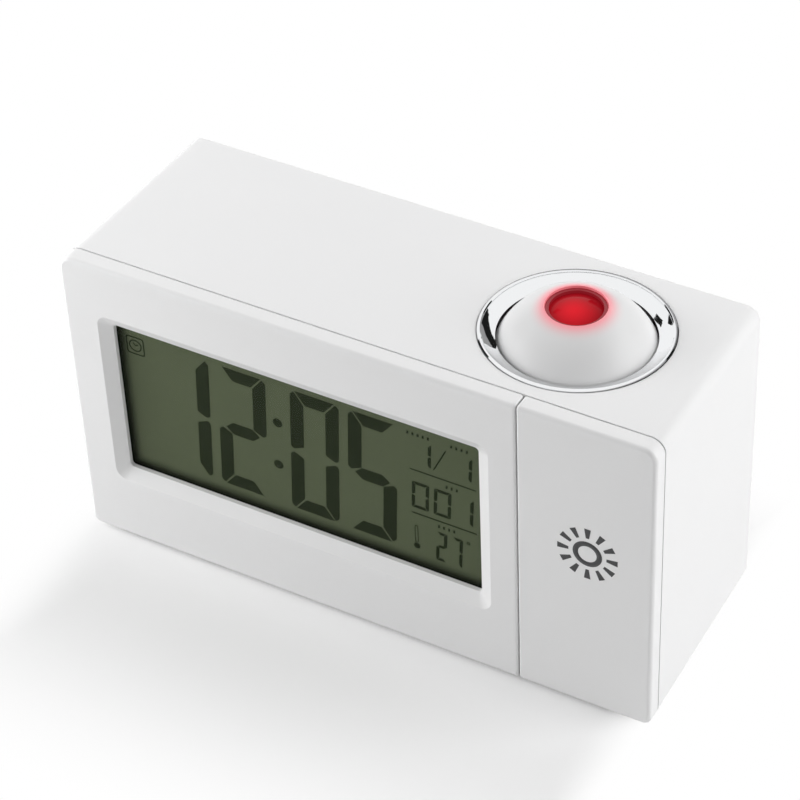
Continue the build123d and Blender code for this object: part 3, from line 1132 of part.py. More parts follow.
def nodes():
    """Every sub-part by name."""
    parts = {
        "housing": housing(),
        "front_bezel": front_bezel(),
        "projection_key": projection_key(),
        "display_window": display_window(),
        "front_polariser": stack_layer(FRONT_POLARISER_Y, POLARISER, LEDGE_TOP_Z),
        "display_front_glass": stack_layer(FRONT_GLASS_Y, DISPLAY_GLASS, STACK_Z[0]),
        "display_rear_glass": stack_layer(REAR_GLASS_Y, DISPLAY_GLASS, LEDGE_TOP_Z),
        "rear_polariser": stack_layer(REAR_POLARISER_Y, POLARISER, LEDGE_TOP_Z),
        "light_guide": light_guide(),
        "backlight_led": backlight_led(),
        "display_holder": display_holder(),
        "contact_strip": contact_strip(),
        "main_board": main_board(),
        "clock_chip": clock_chip(),
        "quartz_crystal": quartz_crystal(),
        "key_switch_board": press_board(),
        "front_tact_switch": tact_switch(FRONT_KEY_X, PRESS_Z, PRESS_BOARD_Y, -1),
        "rear_key_board": rear_key_board(),
        "rear_tact_switches": Compound(children=[tact_switch(x, KEY_Z, KEY_BOARD_Y, 1) for x in REAR_KEY_X]),
        "projector_switch_body": switch_body(),
        "projector_switch_knob": switch_knob(),
        "temperature_sensor": temperature_sensor(),
        "buzzer": buzzer(),
        "board_screws": board_screws(),
        "case_screws": case_screws(),
        "battery_door": battery_door(),
        "contact_plates": contact_plates(),
        "contact_springs": contact_springs(),
        "chrome_ring": chrome_ring(),
        "ball_upper_shell": ball_upper_shell(),
        "ball_lower_shell": ball_lower_shell(),
        "ball_screws": ball_screws(),
        "lens_barrel": lens_barrel(),
        "projection_lens": projection_lens(),
        "condenser_lens": condenser_lens(),
        "projector_slide": projector_slide(),
        "projector_led": projector_led(),
        "projector_board": projector_board(),
        "projector_cradle": projector_cradle(),
        "cradle_screws": cradle_screws(),
        "friction_washers": friction_washers(),
    }
    for i, x in enumerate(REAR_KEY_X):
        parts[f"rear_key_{i + 1}"] = rear_key(x)
    for i in range(CELLS):
        parts[f"battery_cell_{i + 1}"] = battery_cell(i)
    for name, x, y in FEET:
        parts[name] = foot(x, y)
    return parts


os.makedirs("parts", exist_ok=True)
for name, shape in nodes().items():
    export_step(shape, f"parts/{name}.step")
    print(name, round(shape.volume, 1))
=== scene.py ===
# %% [markdown]
# # Dressing a projection alarm clock
# The clock's solids come from a mechanical model: a moulded case, a push key, a liquid crystal display and
# a white ball that tilts in a chrome ring. Blender adds what solids cannot hold, which is finish: the grain
# of the moulding, the film of the display and its figures, the plating, the red lens. Everything is in
# metres and in the model's own frame, so each piece is built where it belongs.

# %% Load the solids and measure them
import bmesh
import bpy
import json
from functools import reduce
from math import cos, pi, radians, sin, tan
from mathutils import Matrix, Vector


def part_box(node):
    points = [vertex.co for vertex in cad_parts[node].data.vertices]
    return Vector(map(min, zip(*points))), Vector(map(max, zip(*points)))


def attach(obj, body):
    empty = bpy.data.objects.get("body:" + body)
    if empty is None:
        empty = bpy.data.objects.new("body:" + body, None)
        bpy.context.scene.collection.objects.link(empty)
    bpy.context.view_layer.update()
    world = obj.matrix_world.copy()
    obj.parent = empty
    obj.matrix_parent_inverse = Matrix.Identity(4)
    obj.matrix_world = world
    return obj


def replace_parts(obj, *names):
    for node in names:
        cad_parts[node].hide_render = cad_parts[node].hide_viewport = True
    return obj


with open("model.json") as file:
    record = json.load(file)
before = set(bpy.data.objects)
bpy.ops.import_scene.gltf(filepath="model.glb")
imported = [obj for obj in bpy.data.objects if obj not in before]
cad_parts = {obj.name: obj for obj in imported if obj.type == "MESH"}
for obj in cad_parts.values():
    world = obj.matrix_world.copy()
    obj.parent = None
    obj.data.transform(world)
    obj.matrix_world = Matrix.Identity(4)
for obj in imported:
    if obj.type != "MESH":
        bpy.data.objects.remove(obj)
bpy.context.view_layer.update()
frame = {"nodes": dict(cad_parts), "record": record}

MM = 0.001


def add_object(name, data):
    """New object in the scene."""
    added = bpy.data.objects.new(name, data)
    bpy.context.scene.collection.objects.link(added)
    return added


# %% [markdown]
# ## Camera
# A small box looks best through a long lens, which keeps its edges almost parallel. The camera is placed by
# an azimuth and an elevation about a point inside the case, and it is then rolled a little, as a hand-held
# camera would be.

# %% Place the camera
AIM = Vector((-3.11, 0.0, 45.95)) * MM
AZIMUTH = radians(30.91)
ELEVATION = radians(40.61)
ROLL = radians(-2.68)
DISTANCE = 683.7 * MM
FOCAL = 133.0  # in mm, on a sensor 36 mm wide

away = Vector((sin(AZIMUTH) * cos(ELEVATION), -cos(AZIMUTH) * cos(ELEVATION), sin(ELEVATION)))
level_right = (-away).cross(Vector((0, 0, 1))).normalized()
level_up = level_right.cross(-away)
right = level_right * cos(ROLL) + level_up * sin(ROLL)
up = level_up * cos(ROLL) - level_right * sin(ROLL)

optics = bpy.data.cameras.new("camera")
optics.lens = FOCAL
optics.clip_start = 0.01
optics.clip_end = 50.0
camera = add_object("camera", optics)
camera.matrix_world = Matrix((right, up, away)).transposed().to_4x4()
camera.location = AIM + away * DISTANCE
bpy.context.scene.camera = camera
bpy.context.scene.view_settings.view_transform = "Standard"
print("camera at", [round(v / MM) for v in camera.location], "mm")

# %% [markdown]
# ## Node trees as Python
# Every finish below is a small formula over the surface, and every repeated piece is a small tree of
# Geometry Nodes. Written node by node, either is long and hard to read, so two helpers come first. `Field`
# wraps a socket and lets Python's operators add the Math nodes. `Tree` makes any other node with a single
# method.

# %% A socket that Python can calculate with
class Field:
    """A value that varies over a surface or along a shape."""

    def __init__(self, tree, socket):
        self.tree = tree
        self.socket = socket

    def math(self, operation, other):
        return self.tree.node("ShaderNodeMath", {0: self, 1: other}, operation=operation)

    def __add__(self, other):
        return self.math("ADD", other)

    def __sub__(self, other):
        return self.math("SUBTRACT", other)

    def __mul__(self, other):
        return self.math("MULTIPLY", other)

    def __truediv__(self, other):
        return self.math("DIVIDE", other)

    def larger(self, other):
        return self.math("MAXIMUM", other)

    def step(self, low, high):
        """Smooth rise from 0 at low to 1 at high; with low above high it falls instead."""
        limits = {"Value": self, "From Min": low, "From Max": high}
        return self.tree.node("ShaderNodeMapRange", limits, interpolation_type="SMOOTHSTEP")


# %% A tree that makes its nodes with one method
class Tree:
    """A node tree of any kind."""

    def __init__(self, tree):
        self.tree = tree
        tree.nodes.clear()

    def node(self, kind, values=None, output=0, **settings):
        """Make a node, apply its settings, then set or link its sockets."""
        made = self.tree.nodes.new(kind)
        for key, value in settings.items():
            setattr(made, key, value)
        for key, value in (values or {}).items():
            if isinstance(value, Field):
                self.tree.links.new(value.socket, made.inputs[key])
            else:
                made.inputs[key].default_value = value
        return Field(self, made.outputs[output]) if len(made.outputs) else None

    def parts(self, vector):
        """The three numbers of a vector."""
        return [self.node("ShaderNodeSeparateXYZ", {"Vector": vector}, output=axis) for axis in "XYZ"]

    def vector(self, **numbers):
        """A vector of the numbers given for X, Y and Z, and 0 for the others."""
        return self.node("ShaderNodeCombineXYZ", numbers)


class Finish(Tree):
    """The tree of one material."""

    def __init__(self, name):
        self.material = bpy.data.materials.new(name)
        self.material.use_nodes = True
        super().__init__(self.material.node_tree)

    def place(self):
        """Where a point is on its piece, in metres."""
        return self.node("ShaderNodeTexCoord", output="Object")

    def noise(self, size, detail=2.0):
        """Cloudy value around one half, with lumps of the given size."""
        values = {"Vector": self.place(), "Scale": 1 / size, "Detail": detail}
        return self.node("ShaderNodeTexNoise", values)

    def blend(self, factor, first, second):
        """Colour between two colours."""
        colours = {0: factor, 6: rgba(first), 7: rgba(second)}
        return self.node("ShaderNodeMix", colours, output=2, data_type="RGBA")

    def bump(self, height, depth):
        """Normal of a surface that rises by depth where height is 1."""
        return self.node("ShaderNodeBump", {"Height": height, "Distance": depth})

    def surface(self, **values):
        """End the tree in a Principled shader; underscores stand for the spaces in its sockets' names."""
        sockets = {key.replace("_", " "): value for key, value in values.items()}
        return self.end(self.node("ShaderNodeBsdfPrincipled", sockets))

    def end(self, shader):
        self.node("ShaderNodeOutputMaterial", {"Surface": shader})
        return self.material


def rgba(colour):
    """A colour with its alpha, or a Field as it is."""
    return colour if isinstance(colour, Field) else (*colour, 1.0)


print("node helpers ready")

# %% [markdown]
# ## Floor and light
# The clock stands on a pale table in a bright room. A dim sky fills the shade, and four soft lamps model
# the form: two at the left, low enough to rake the front so that the bevels of its recess show, one at the
# right for the end of the case, and one behind for the roof and the soft shadow in front. The table and the
# sky show as white to the camera, to metal and to glass, but send a plainer light to everything else, so
# that the white comes from their colour and not from more light on the clock.

# %% The white room
SKY = 0.296  # light from the sky, halfway between its bright and its dark side
SKY_RIGHT = 0.308  # more from the right, and as much less from the left
SKY_BEHIND = 0.063  # more from behind
SHOWN_WHITE = 0.15  # share of pure white in what is shown of the table, near the clock


def shown(tree):
    """1 for a ray that shows a surface, directly, in metal or through glass, and 0 for scattered light."""
    kinds = ("Camera", "Glossy", "Transmission")
    return reduce(Field.larger, [tree.node("ShaderNodeLightPath", output=f"Is {kind} Ray") for kind in kinds])


world = bpy.data.worlds.new("white_room")
bpy.context.scene.world = world
world.use_nodes = True
room = Tree(world.node_tree)
x, y, z = room.parts(room.node("ShaderNodeTexCoord", output="Generated"))
light = (x * SKY_RIGHT + y * SKY_BEHIND + SKY).larger(0.0)
strength = room.node("ShaderNodeMix", {0: shown(room), 2: light, 3: 1.0}, data_type="FLOAT")
background = room.node("ShaderNodeBackground", {"Color": (1, 1, 1, 1), "Strength": strength})
room.node("ShaderNodeOutputWorld", {"Surface": background})
print("sky", SKY)

# %% The table top
TABLE = 6.0  # side of the table top, in metres


def rectangle(name, centre, across, along, material):
    """Flat sheet round a centre, spanned by two half-edges."""
    corners = [centre + i * across + j * along for i, j in ((-1, -1), (1, -1), (1, 1), (-1, 1))]
    mesh = bpy.data.meshes.new(name)
    mesh.from_pydata(corners, [], [(0, 1, 2, 3)])
    mesh.materials.append(material)
    sheet = add_object(name, mesh)
    return sheet


# The shadow is kept close to the clock, and further out the table fades to plain white. For each side: the
# axis, and where along it the fade starts and ends, in millimetres.
FADES = {
    "front": ("y", -45, -105), "back": ("y", 20, 60), "left": ("x", -62, -84), "right": ("x", 62, 74),
}

paper = Finish("white_paper")
over = dict(zip("xyz", paper.parts(paper.place())))
fades = [over[axis].step(start * MM, end * MM) for axis, start, end in FADES.values()]
white_share = reduce(Field.larger, fades) * (1 - SHOWN_WHITE) + SHOWN_WHITE
paper_grey = paper.blend(paper.noise(0.4), (0.86, 0.86, 0.86), (0.88, 0.88, 0.88))
paper_tone = paper.blend(shown(paper), paper_grey, (0.93, 0.93, 0.93))
matte = paper.node("ShaderNodeBsdfDiffuse", {"Color": paper_tone})
white = paper.node("ShaderNodeEmission", {"Color": (1, 1, 1, 1)})
paper.end(paper.node("ShaderNodeMixShader", {0: shown(paper) * white_share, 1: matte, 2: white}))
half = TABLE / 2
rectangle("table_top", Vector(), Vector((half, 0, 0)), Vector((0, half, 0)), paper.material)
print("table top", TABLE, "m wide")


# %% Lamps
def soft_lamp(name, place, side, watts):
    """Square lamp that looks at the clock."""
    light = bpy.data.lights.new(name, "AREA")
    light.shape = "SQUARE"
    light.size = side
    light.energy = watts
    lamp = add_object(name, light)
    lamp.rotation_mode = "QUATERNION"
    lamp.location = place
    lamp.rotation_quaternion = (AIM - Vector(place)).to_track_quat("-Z", "Y")
    lamp.visible_glossy = False


soft_lamp("lamp_left", (-0.36, -0.29, 0.20), side=0.25, watts=0.771)
soft_lamp("lamp_far_left", (-0.55, -0.12, 0.30), side=0.25, watts=1.935)
soft_lamp("lamp_right", (0.50, 0.12, 0.30), side=0.3, watts=1.25)
soft_lamp("lamp_behind", (0.0, 0.60, 0.50), side=0.4, watts=2.012)
print("lamps", len(bpy.data.lights))

# %% [markdown]
# Chrome has no colour of its own: in a white room it turns white and disappears. A studio stands dark cards
# beside it, which it reflects as crisp dark lines. The cards here show in shiny surfaces only, and their
# tone is written as light, so that it doesn't depend on where they stand.

# %% Dark cards for the chrome
def card_cloth(name, tone):
    """Cloth that always shows the same tone."""
    cloth = Finish(name)
    weave = cloth.blend(cloth.noise(0.02), [tone * 0.9] * 3, [tone * 1.1] * 3)
    return cloth.end(cloth.node("ShaderNodeEmission", {"Color": weave}))


def stand_card(name, centre, width, height, cloth):
    """Stand a card upright, facing the clock."""
    inward = Vector((-centre[0], -centre[1], 0)).normalized()
    across = inward.cross(Vector((0, 0, 1))) * width / 2
    card = rectangle(name, Vector(centre), across, Vector((0, 0, height / 2)), cloth)
    for kind in ("camera", "diffuse", "shadow", "transmission"):
        setattr(card, f"visible_{kind}", False)


black_cloth = card_cloth("black_cloth", 0.012)
grey_cloth = card_cloth("grey_cloth", 0.32)
stand_card("card_behind_top", (0.22, 0.77, 0.375), width=0.85, height=0.19, cloth=black_cloth)
stand_card("card_behind_foot", (0.22, 0.77, 0.14), width=0.85, height=0.28, cloth=grey_cloth)
stand_card("card_left", (-0.89, 0.125, 0.405), width=0.58, height=0.27, cloth=black_cloth)
stand_card("card_high", (-0.755, 0.49, 0.8), width=0.17, height=0.2, cloth=black_cloth)
print("cards in place")

# %% [markdown]
# ## Moulded plastic
# The case is injection moulded, and the mould's face is spark eroded, which leaves a very fine grain and
# takes the shine off. So the recipe is an almost even white, a slow, slight drift in tone, and a grain a
# fifth of a millimetre across that moves both the bump and the roughness.

# %% Plastics
GRAIN_SIZE = 0.2 * MM
GRAIN_DEPTH = 0.004 * MM
GRAIN_SHINE = 0.05  # how far the grain moves the roughness
CLOUD_SIZE = 18 * MM  # lumps of the slow drift in tone
CLOUD_TONE = 0.985  # the drift's darker tone, as a share of the lighter one


def moulded(name, colour, roughness, **more):
    """Moulded plastic with a fine grain."""
    finish = Finish(name)
    grains = finish.noise(GRAIN_SIZE)
    darker = [channel * CLOUD_TONE for channel in colour]
    tone = finish.blend(finish.noise(CLOUD_SIZE), darker, colour)
    shine = (grains - 0.5) * GRAIN_SHINE + roughness
    normal = finish.bump(grains, GRAIN_DEPTH)
    return finish.surface(Base_Color=tone, Roughness=shine, Normal=normal, IOR=1.5, **more)


case_white = moulded("case_white", (0.88, 0.88, 0.882), 0.42)
inner_white = moulded("inner_white", (0.80, 0.80, 0.79), 0.5)
key_grey = moulded("key_grey", (0.58, 0.59, 0.60), 0.45)
matt_black = moulded("matt_black", (0.02, 0.02, 0.022), 0.5)
resin_black = moulded("resin_black", (0.012, 0.012, 0.012), 0.2, Coat_Weight=0.6)
print("plastics", case_white.name, key_grey.name)

# %% [markdown]
# ## Metal, rubber and the inside
# Screws and contacts are plated steel, which reflects as metal does but through a thin haze that drifts
# over it. The parts inside the case get plain finishes of their own, because the battery door opens and the
# model may be taken apart.

# %% Metals
HAZE_SIZE = 3 * MM  # lumps of the haze on metal
HAZE_DETAIL = 3.0
HAZE_TONE = 0.94  # the haze's darker tone, as a share of the metal's own


def plated(name, colour, roughness, drift):
    """Bright metal whose tone and roughness drift a little."""
    finish = Finish(name)
    haze = finish.noise(HAZE_SIZE, HAZE_DETAIL)
    darker = [channel * HAZE_TONE for channel in colour]
    tone = finish.blend(haze, darker, colour)
    return finish.surface(Base_Color=tone, Metallic=1.0, Roughness=(haze - 0.5) * drift + roughness)


zinc = plated("zinc_plating", (0.55, 0.55, 0.57), 0.35, drift=0.2)
nickel = plated("nickel_plating", (0.66, 0.63, 0.58), 0.28, drift=0.15)
print("metals", zinc.name, nickel.name)


# %% Soft and plain finishes
def plain(name, dark, light, lump, roughness, **more):
    """Finish whose colour wanders between two tones."""
    finish = Finish(name)
    tone = finish.blend(finish.noise(lump), dark, light)
    return finish.surface(Base_Color=tone, Roughness=roughness, **more)


foot_rubber = plain("foot_rubber", (0.48, 0.48, 0.47), (0.54, 0.54, 0.53), 1 * MM, 0.8)
board_green = plain("board_green", (0.012, 0.075, 0.03), (0.02, 0.11, 0.045), 2 * MM, 0.35)
felt = plain("grey_felt", (0.10, 0.10, 0.10), (0.16, 0.16, 0.16), 0.3 * MM, 0.95)
led_white = plain("led_white", (0.75, 0.74, 0.66), (0.82, 0.81, 0.74), 1 * MM, 0.3)
led_red = plain("led_red", (0.55, 0.01, 0.012), (0.65, 0.015, 0.02), 1 * MM, 0.15, Coat_Weight=0.5)
sleeve = plain("cell_sleeve", (0.035, 0.10, 0.28), (0.045, 0.12, 0.33), 4 * MM, 0.3, Coat_Weight=0.4)
foil = plain("reflector_foil", (0.42, 0.43, 0.40), (0.48, 0.49, 0.45), 1 * MM, 0.4)
acrylic = plain("clear_acrylic", (0.86, 0.88, 0.88), (0.90, 0.92, 0.92), 6 * MM, 0.1, Alpha=0.5)
glass = plain("display_glass", (0.70, 0.74, 0.70), (0.74, 0.78, 0.74), 6 * MM, 0.08, Alpha=0.45)
print("plain finishes made")

# %% Striped contact rubber
STRIPE = 0.36 * MM  # one dark and one pale layer

striped = Finish("striped_rubber")
along, _, _ = striped.parts(striped.place())
wave = along.math("PINGPONG", STRIPE / 2)
layers = striped.blend(wave.step(0.2 * STRIPE, 0.3 * STRIPE), (0.02, 0.02, 0.02), (0.30, 0.30, 0.32))
contact_rubber = striped.surface(Base_Color=layers, Roughness=0.7)
print("stripe", STRIPE / MM, "mm")

# %% [markdown]
# ## The display's film
# Seen from outside, a liquid crystal display is a grey-green film behind a clear window. The film sits in a
# well, so its lower and left-hand edges lie in the shade of the window's frame. That shade is painted shade:
# it is painted into the film's colour and not cast by the lamps, as the distance to each edge of the window,
# turned into four soft bands.

# %% Where the window's edges are
film_low, film_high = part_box("front_polariser")
FILM_LAP = 3.1 * MM  # film behind the window's frame, each side
WIDER_LEFT = 0.5 * MM  # how much further left the window reaches in the bezel's copy
WIDER_BELOW = 1.2 * MM  # and how much further down
WINDOW = {
    "left": film_low.x + FILM_LAP - WIDER_LEFT,
    "right": film_high.x - FILM_LAP,
    "bottom": film_low.z + FILM_LAP - WIDER_BELOW,
    "top": film_high.z - FILM_LAP,
}
print("window in mm", {side: round(value / MM, 1) for side, value in WINDOW.items()})

# %% Film
FILM = (0.122, 0.145, 0.085)
# FILM_SHADE is the colour of the painted shade at the window's edges
FILM_SHADE = (0.020, 0.026, 0.015)
UNEVEN = 0.04  # how far the film's tone drifts to each side
# For each edge of the window: how far inside it the shade starts, how far outside it is full, and its depth.
SHADES = {
    "bottom": (2.8 * MM, 1.6 * MM, 1.0), "left": (2.6 * MM, 0.8 * MM, 1.0),
    "right": (1.4 * MM, 1.0 * MM, 0.6), "top": (0.9 * MM, 0.4 * MM, 0.6),
}

film = Finish("display_film")
x, y, z = film.parts(film.place())
bands = []
for side, (inside, outside, depth) in SHADES.items():
    over = z if side in ("bottom", "top") else x
    inward = 1 if side in ("bottom", "left") else -1
    bands.append(over.step(WINDOW[side] + inward * inside, WINDOW[side] - inward * outside) * depth)
# painted shade of the window's frame: the strongest of the four bands at each point
shade = reduce(Field.larger, bands)
drift = (film.noise(20 * MM) - 0.5) * 0.3 + 0.5
even = film.blend(drift, [c * (1 - UNEVEN) for c in FILM], [c * (1 + UNEVEN) for c in FILM])
film_tone = film.blend(shade, even, FILM_SHADE)
display_film = film.surface(Base_Color=film_tone, Roughness=0.5, Specular_IOR_Level=0.0)
print("bands of shade", len(bands))

# %% Ink and window
INK = (0.023, 0.031, 0.015)

ink = plain("display_ink", INK, [c * 1.15 for c in INK], 2 * MM, 0.5, Specular_IOR_Level=0.0)
window_clear = plain("window_clear", (0.04, 0.04, 0.04), (0.06, 0.06, 0.06), 30 * MM, 0.08, Alpha=0.04)
print("display finishes made")

# %% [markdown]
# ## Ring, ball and lens
# The ring is plastic with a chrome plating, so it is a mirror with hardly any texture: only its roughness
# drifts a little, as polishing leaves it, and its outermost edge is painted darker, a painted shade where it
# meets the case. The ball is glossy white. Its lamp is on, and its light is painted in: the lens glows deep
# red in its colour and emission, brightest a little in front of its middle as a painted highlight, and the
# red light soaking into the plastic round the aperture is a painted pink rim, in the ball's colour and
# emission, that fades within a few millimetres. All three follow a distance from the line that runs straight
# up through the aperture. It is measured on the piece, so it tilts with the ball.

# %% Distance from the aperture's axis
ball_low, ball_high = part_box("ball_upper_shell")
lens_low, lens_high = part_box("projection_lens")
AXIS = (ball_low + ball_high) / 2
APERTURE_RADIUS = 6.95 * MM
LENS_RADIUS = (lens_high.x - lens_low.x) / 2


def from_axis(finish, ahead=0.0):
    """Distance of a point from the line straight up through the aperture, or through a spot ahead of it."""
    level = finish.node("ShaderNodeVectorMath", {0: finish.place(), 1: (1, 1, 0)}, operation="MULTIPLY")
    ends = {0: level, 1: (AXIS.x, AXIS.y - ahead, 0)}
    return finish.node("ShaderNodeVectorMath", ends, output="Value", operation="DISTANCE")


print("axis at", [round(v / MM, 1) for v in AXIS.xy], "mm")

# %% Chrome ring
EDGE_FROM = 0.45 * MM  # how far inside its rim the ring starts to darken
EDGE_TO = 0.15 * MM  # and where it is darkest

ring_low, ring_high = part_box("chrome_ring")
RING_RADIUS = (ring_high.x - ring_low.x) / 2

mirror = Finish("chrome_plating")
# Painted shade: the ring's base colour darkens over its outermost edge, where it meets the case.
ring_painted_shade = from_axis(mirror).step(RING_RADIUS - EDGE_FROM, RING_RADIUS - EDGE_TO)
haze = mirror.noise(HAZE_SIZE, HAZE_DETAIL)
mirror_tone = mirror.blend(ring_painted_shade, (0.87, 0.88, 0.89), (0.30, 0.30, 0.31))
chrome = mirror.surface(Base_Color=mirror_tone, Metallic=1.0, Roughness=haze * 0.04 + 0.03)
print("ring radius", round(RING_RADIUS / MM, 2), "mm")

# %% Ball
GLOW_REACH = 4.5 * MM  # how far the red light creeps into the ball
GLOW_LAP = 0.6 * MM  # and how far inside the aperture it is full

ball = Finish("ball_white")
# Painted glow: the lamp's red light round the aperture is painted into the ball's colour and emission.
painted_pink_glow = from_axis(ball).step(APERTURE_RADIUS + GLOW_REACH, APERTURE_RADIUS - GLOW_LAP)
painted_pink_glow = painted_pink_glow * painted_pink_glow
ball_tone = ball.blend(painted_pink_glow, (0.82, 0.82, 0.822), (0.86, 0.30, 0.34))
ball_light = ball.blend(painted_pink_glow, (0.0, 0.0, 0.0), (0.19, 0.015, 0.022))
ball_white = ball.surface(Base_Color=ball_tone, Roughness=0.3, IOR=1.5, Emission_Color=ball_light,
                          Emission_Strength=1.0, Normal=ball.bump(ball.noise(6 * MM), 0.02 * MM))
print("pink rim", GLOW_REACH / MM, "mm wide")

# %% Lens and barrel
HOT_SPOT = 1.6 * MM  # how far in front of its middle the lens is brightest

lens = Finish("red_lens")
# Painted glow: the lamp's light through the lens is painted into its colour and emission, brightest at a
# painted highlight ahead of its middle.
core = from_axis(lens, ahead=HOT_SPOT).step(LENS_RADIUS + HOT_SPOT, 0.0)
red_tone = lens.blend(core, (0.10, 0.001, 0.003), (0.30, 0.002, 0.006))
red_glow = lens.blend(core, (0.17, 0.002, 0.005), (0.47, 0.012, 0.019))
red_lens = lens.surface(Base_Color=red_tone, Roughness=0.06, Specular_IOR_Level=0.06,
                        Emission_Color=red_glow, Emission_Strength=1.0)

# Painted glow: the barrel's wall is given a red colour and a red emission for the lamp's light inside the
# aperture.
tube = Finish("barrel_red")
tube_painted_red = tube.blend(tube.noise(0.5 * MM), (0.10, 0.008, 0.012), (0.16, 0.014, 0.020))
barrel_red = tube.surface(Base_Color=tube_painted_red, Roughness=0.3, Emission_Color=(0.16, 0.006, 0.010, 1.0),
                          Emission_Strength=1.0)
print("ball and lens finishes made")

# %% [markdown]
# ## Dressing the solids
# A solid comes in as loose flat triangles. Where its shape is right and nothing round shows, a finish on it
# is enough. The pieces that show get a copy: its doubled corners are merged, its faces turned smooth, and
# edges sharper than a limit are kept sharp. Smoothing alone would bend the light on a panel wherever a
# rounded edge meets it, so the copy gets normals of its own: a corner that touches a flat area takes that
# area's normal, and only corners inside a rounding take the average of their faces. What is walked through
# is kept in lists and dictionaries, since the order of a set changes from run to run.

# %% Finishes by record slot
FINISHES = {
    "case_plastic": case_white, "clear_window": window_clear, "display_film": display_film,
    "display_glass": glass, "reflector_film": foil, "clear_acrylic": acrylic, "white_led": led_white,
    "inner_plastic": inner_white, "contact_rubber": contact_rubber, "circuit_board": board_green,
    "black_resin": resin_black, "plain_steel": zinc, "black_plastic": matt_black, "grey_plastic": key_grey,
    "nickel_contacts": nickel, "chrome_plate": chrome, "ball_plastic": ball_white, "red_lens": red_lens,
    "red_led": led_red, "felt_washer": felt, "cell_sleeve": sleeve, "foot_rubber": foot_rubber,
}
slot_of = {part["node"]: part["material_slot"] for part in frame["record"]["subparts"]}
body_of = {node: body for body, nodes in frame["record"]["behaviour"]["bodies"].items() for node in nodes}


def dress(mesh, material):
    """Give a mesh one finish."""
    mesh.materials.clear()
    mesh.materials.append(material)


for node, solid in frame["nodes"].items():
    dress(solid.data, FINISHES[slot_of[node]])
# the lens barrel takes the painted red glow instead of its slot's finish
dress(frame["nodes"]["lens_barrel"].data, barrel_red)
print("solids dressed", len(frame["nodes"]))


# %% Flat areas of a shape
SHARP = radians(24)  # edges above this angle stay sharp
SAME_PLANE = radians(0.5)  # faces within this angle lie in one plane
FLAT_AREA = 12 * MM * MM  # smallest area that counts as a flat panel
FLAT_WIDTH = 0.8 * MM  # and its smallest width, which leaves out the strips of a rounding


def groups(items, near):
    """Lists of items that hang together, where near gives an item's neighbours in the group of a seed."""
    waiting = dict.fromkeys(items)
    while waiting:
        seed, _ = waiting.popitem()
        group, front = [], [seed]
        while front:
            item = front.pop()
            group.append(item)
            for other in near(item, seed):
                if other in waiting:
                    del waiting[other]
                    front.append(other)
        yield group


def in_plane(face, seed):
    """Faces beside a face that lie in the plane of the seed."""
    beside = [near for edge in face.edges for near in edge.link_faces]
    return [near for near in beside if near.normal.angle(seed.normal, pi) < SAME_PLANE]


def flat_panels(shape):
    """Each face of a flat panel, with the panel's area and normal."""
    panels = {}
    for panel in groups(shape.faces, in_plane):
        members = set(panel)
        area = sum(face.calc_area() for face in panel)
        rim = sum(edge.calc_length() for face in panel for edge in face.edges
                  if not members.issuperset(edge.link_faces))
        if area > FLAT_AREA and 2 * area / rim > FLAT_WIDTH:
            normal = panel[0].normal.copy()
            panels.update((face, (area, normal)) for face in panel)
    return panels


def fan_normal(fan, panels):
    """Normal of the largest panel among faces that meet smoothly at a corner, or else their average."""
    flat = [panels[face] for face in fan if face in panels]
    if flat:
        return max(flat, key=lambda panel: panel[0])[1]
    total = sum((face.normal * face.calc_area() for face in fan), Vector())
    return total.normalized() if total.length > 0 else Vector((0, 0, 1))


def corner_normals(shape):
    """One normal for each corner of each face, in the mesh's own order."""
    panels = flat_panels(shape)
    smooth = {edge for edge in shape.edges if edge.calc_face_angle(pi) < SHARP}
    normals = {}
    for corner in shape.verts:
        spokes = [edge for edge in corner.link_edges if edge in smooth]
        beside = lambda face, _: [near for edge in face.edges if edge in spokes for near in edge.link_faces]
        for fan in groups(corner.link_faces, beside):
            normal = fan_normal(fan, panels)
            normals.update(((corner, face), normal) for face in fan)
    return [normals[corner, face] for face in shape.faces for corner in face.verts]


print("panels are flat from", round(FLAT_AREA / MM / MM), "square mm")

# %% Window of the bezel's copy
RECESS_RUN = 4.3 * MM  # widest of the slopes round the window
RECESS_DEPTH = 2.1 * MM  # front face to the window's lip
LIP_BACK = 3.2 * MM  # front face to just behind the lip
WINDOW_ROUND = 1.1 * MM  # rounding of the window's corners, and a little more


def widen_window(shape):
    """Move the window's left-hand and lower edges outwards, and the slopes round them with them."""
    solid_left, solid_bottom = WINDOW["left"] + WIDER_LEFT, WINDOW["bottom"] + WIDER_BELOW
    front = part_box("front_bezel")[0].y
    for corner in shape.verts:
        x, y, z = corner.co
        deep = min((y - front) / RECESS_DEPTH, 1)
        if not (0 < deep and y < front + LIP_BACK
                and solid_left - RECESS_RUN < x < WINDOW["right"] + RECESS_RUN
                and solid_bottom - RECESS_RUN < z < WINDOW["top"] + RECESS_RUN):
            continue
        if x < solid_left + WINDOW_ROUND:
            corner.co.x -= WIDER_LEFT * deep
        if z < solid_bottom + WINDOW_ROUND:
            corner.co.z -= WIDER_BELOW * deep


print("window moves by", WIDER_LEFT / MM, "and", WIDER_BELOW / MM, "mm")

# %% Smooth copies
SAME_CORNER = 0.0005 * MM  # corners nearer than this are one


def add_piece(name, mesh, node):
    """Show a mesh as a piece on the body of a node."""
    piece = add_object(name, mesh)
    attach(piece, body_of[node])
    return piece


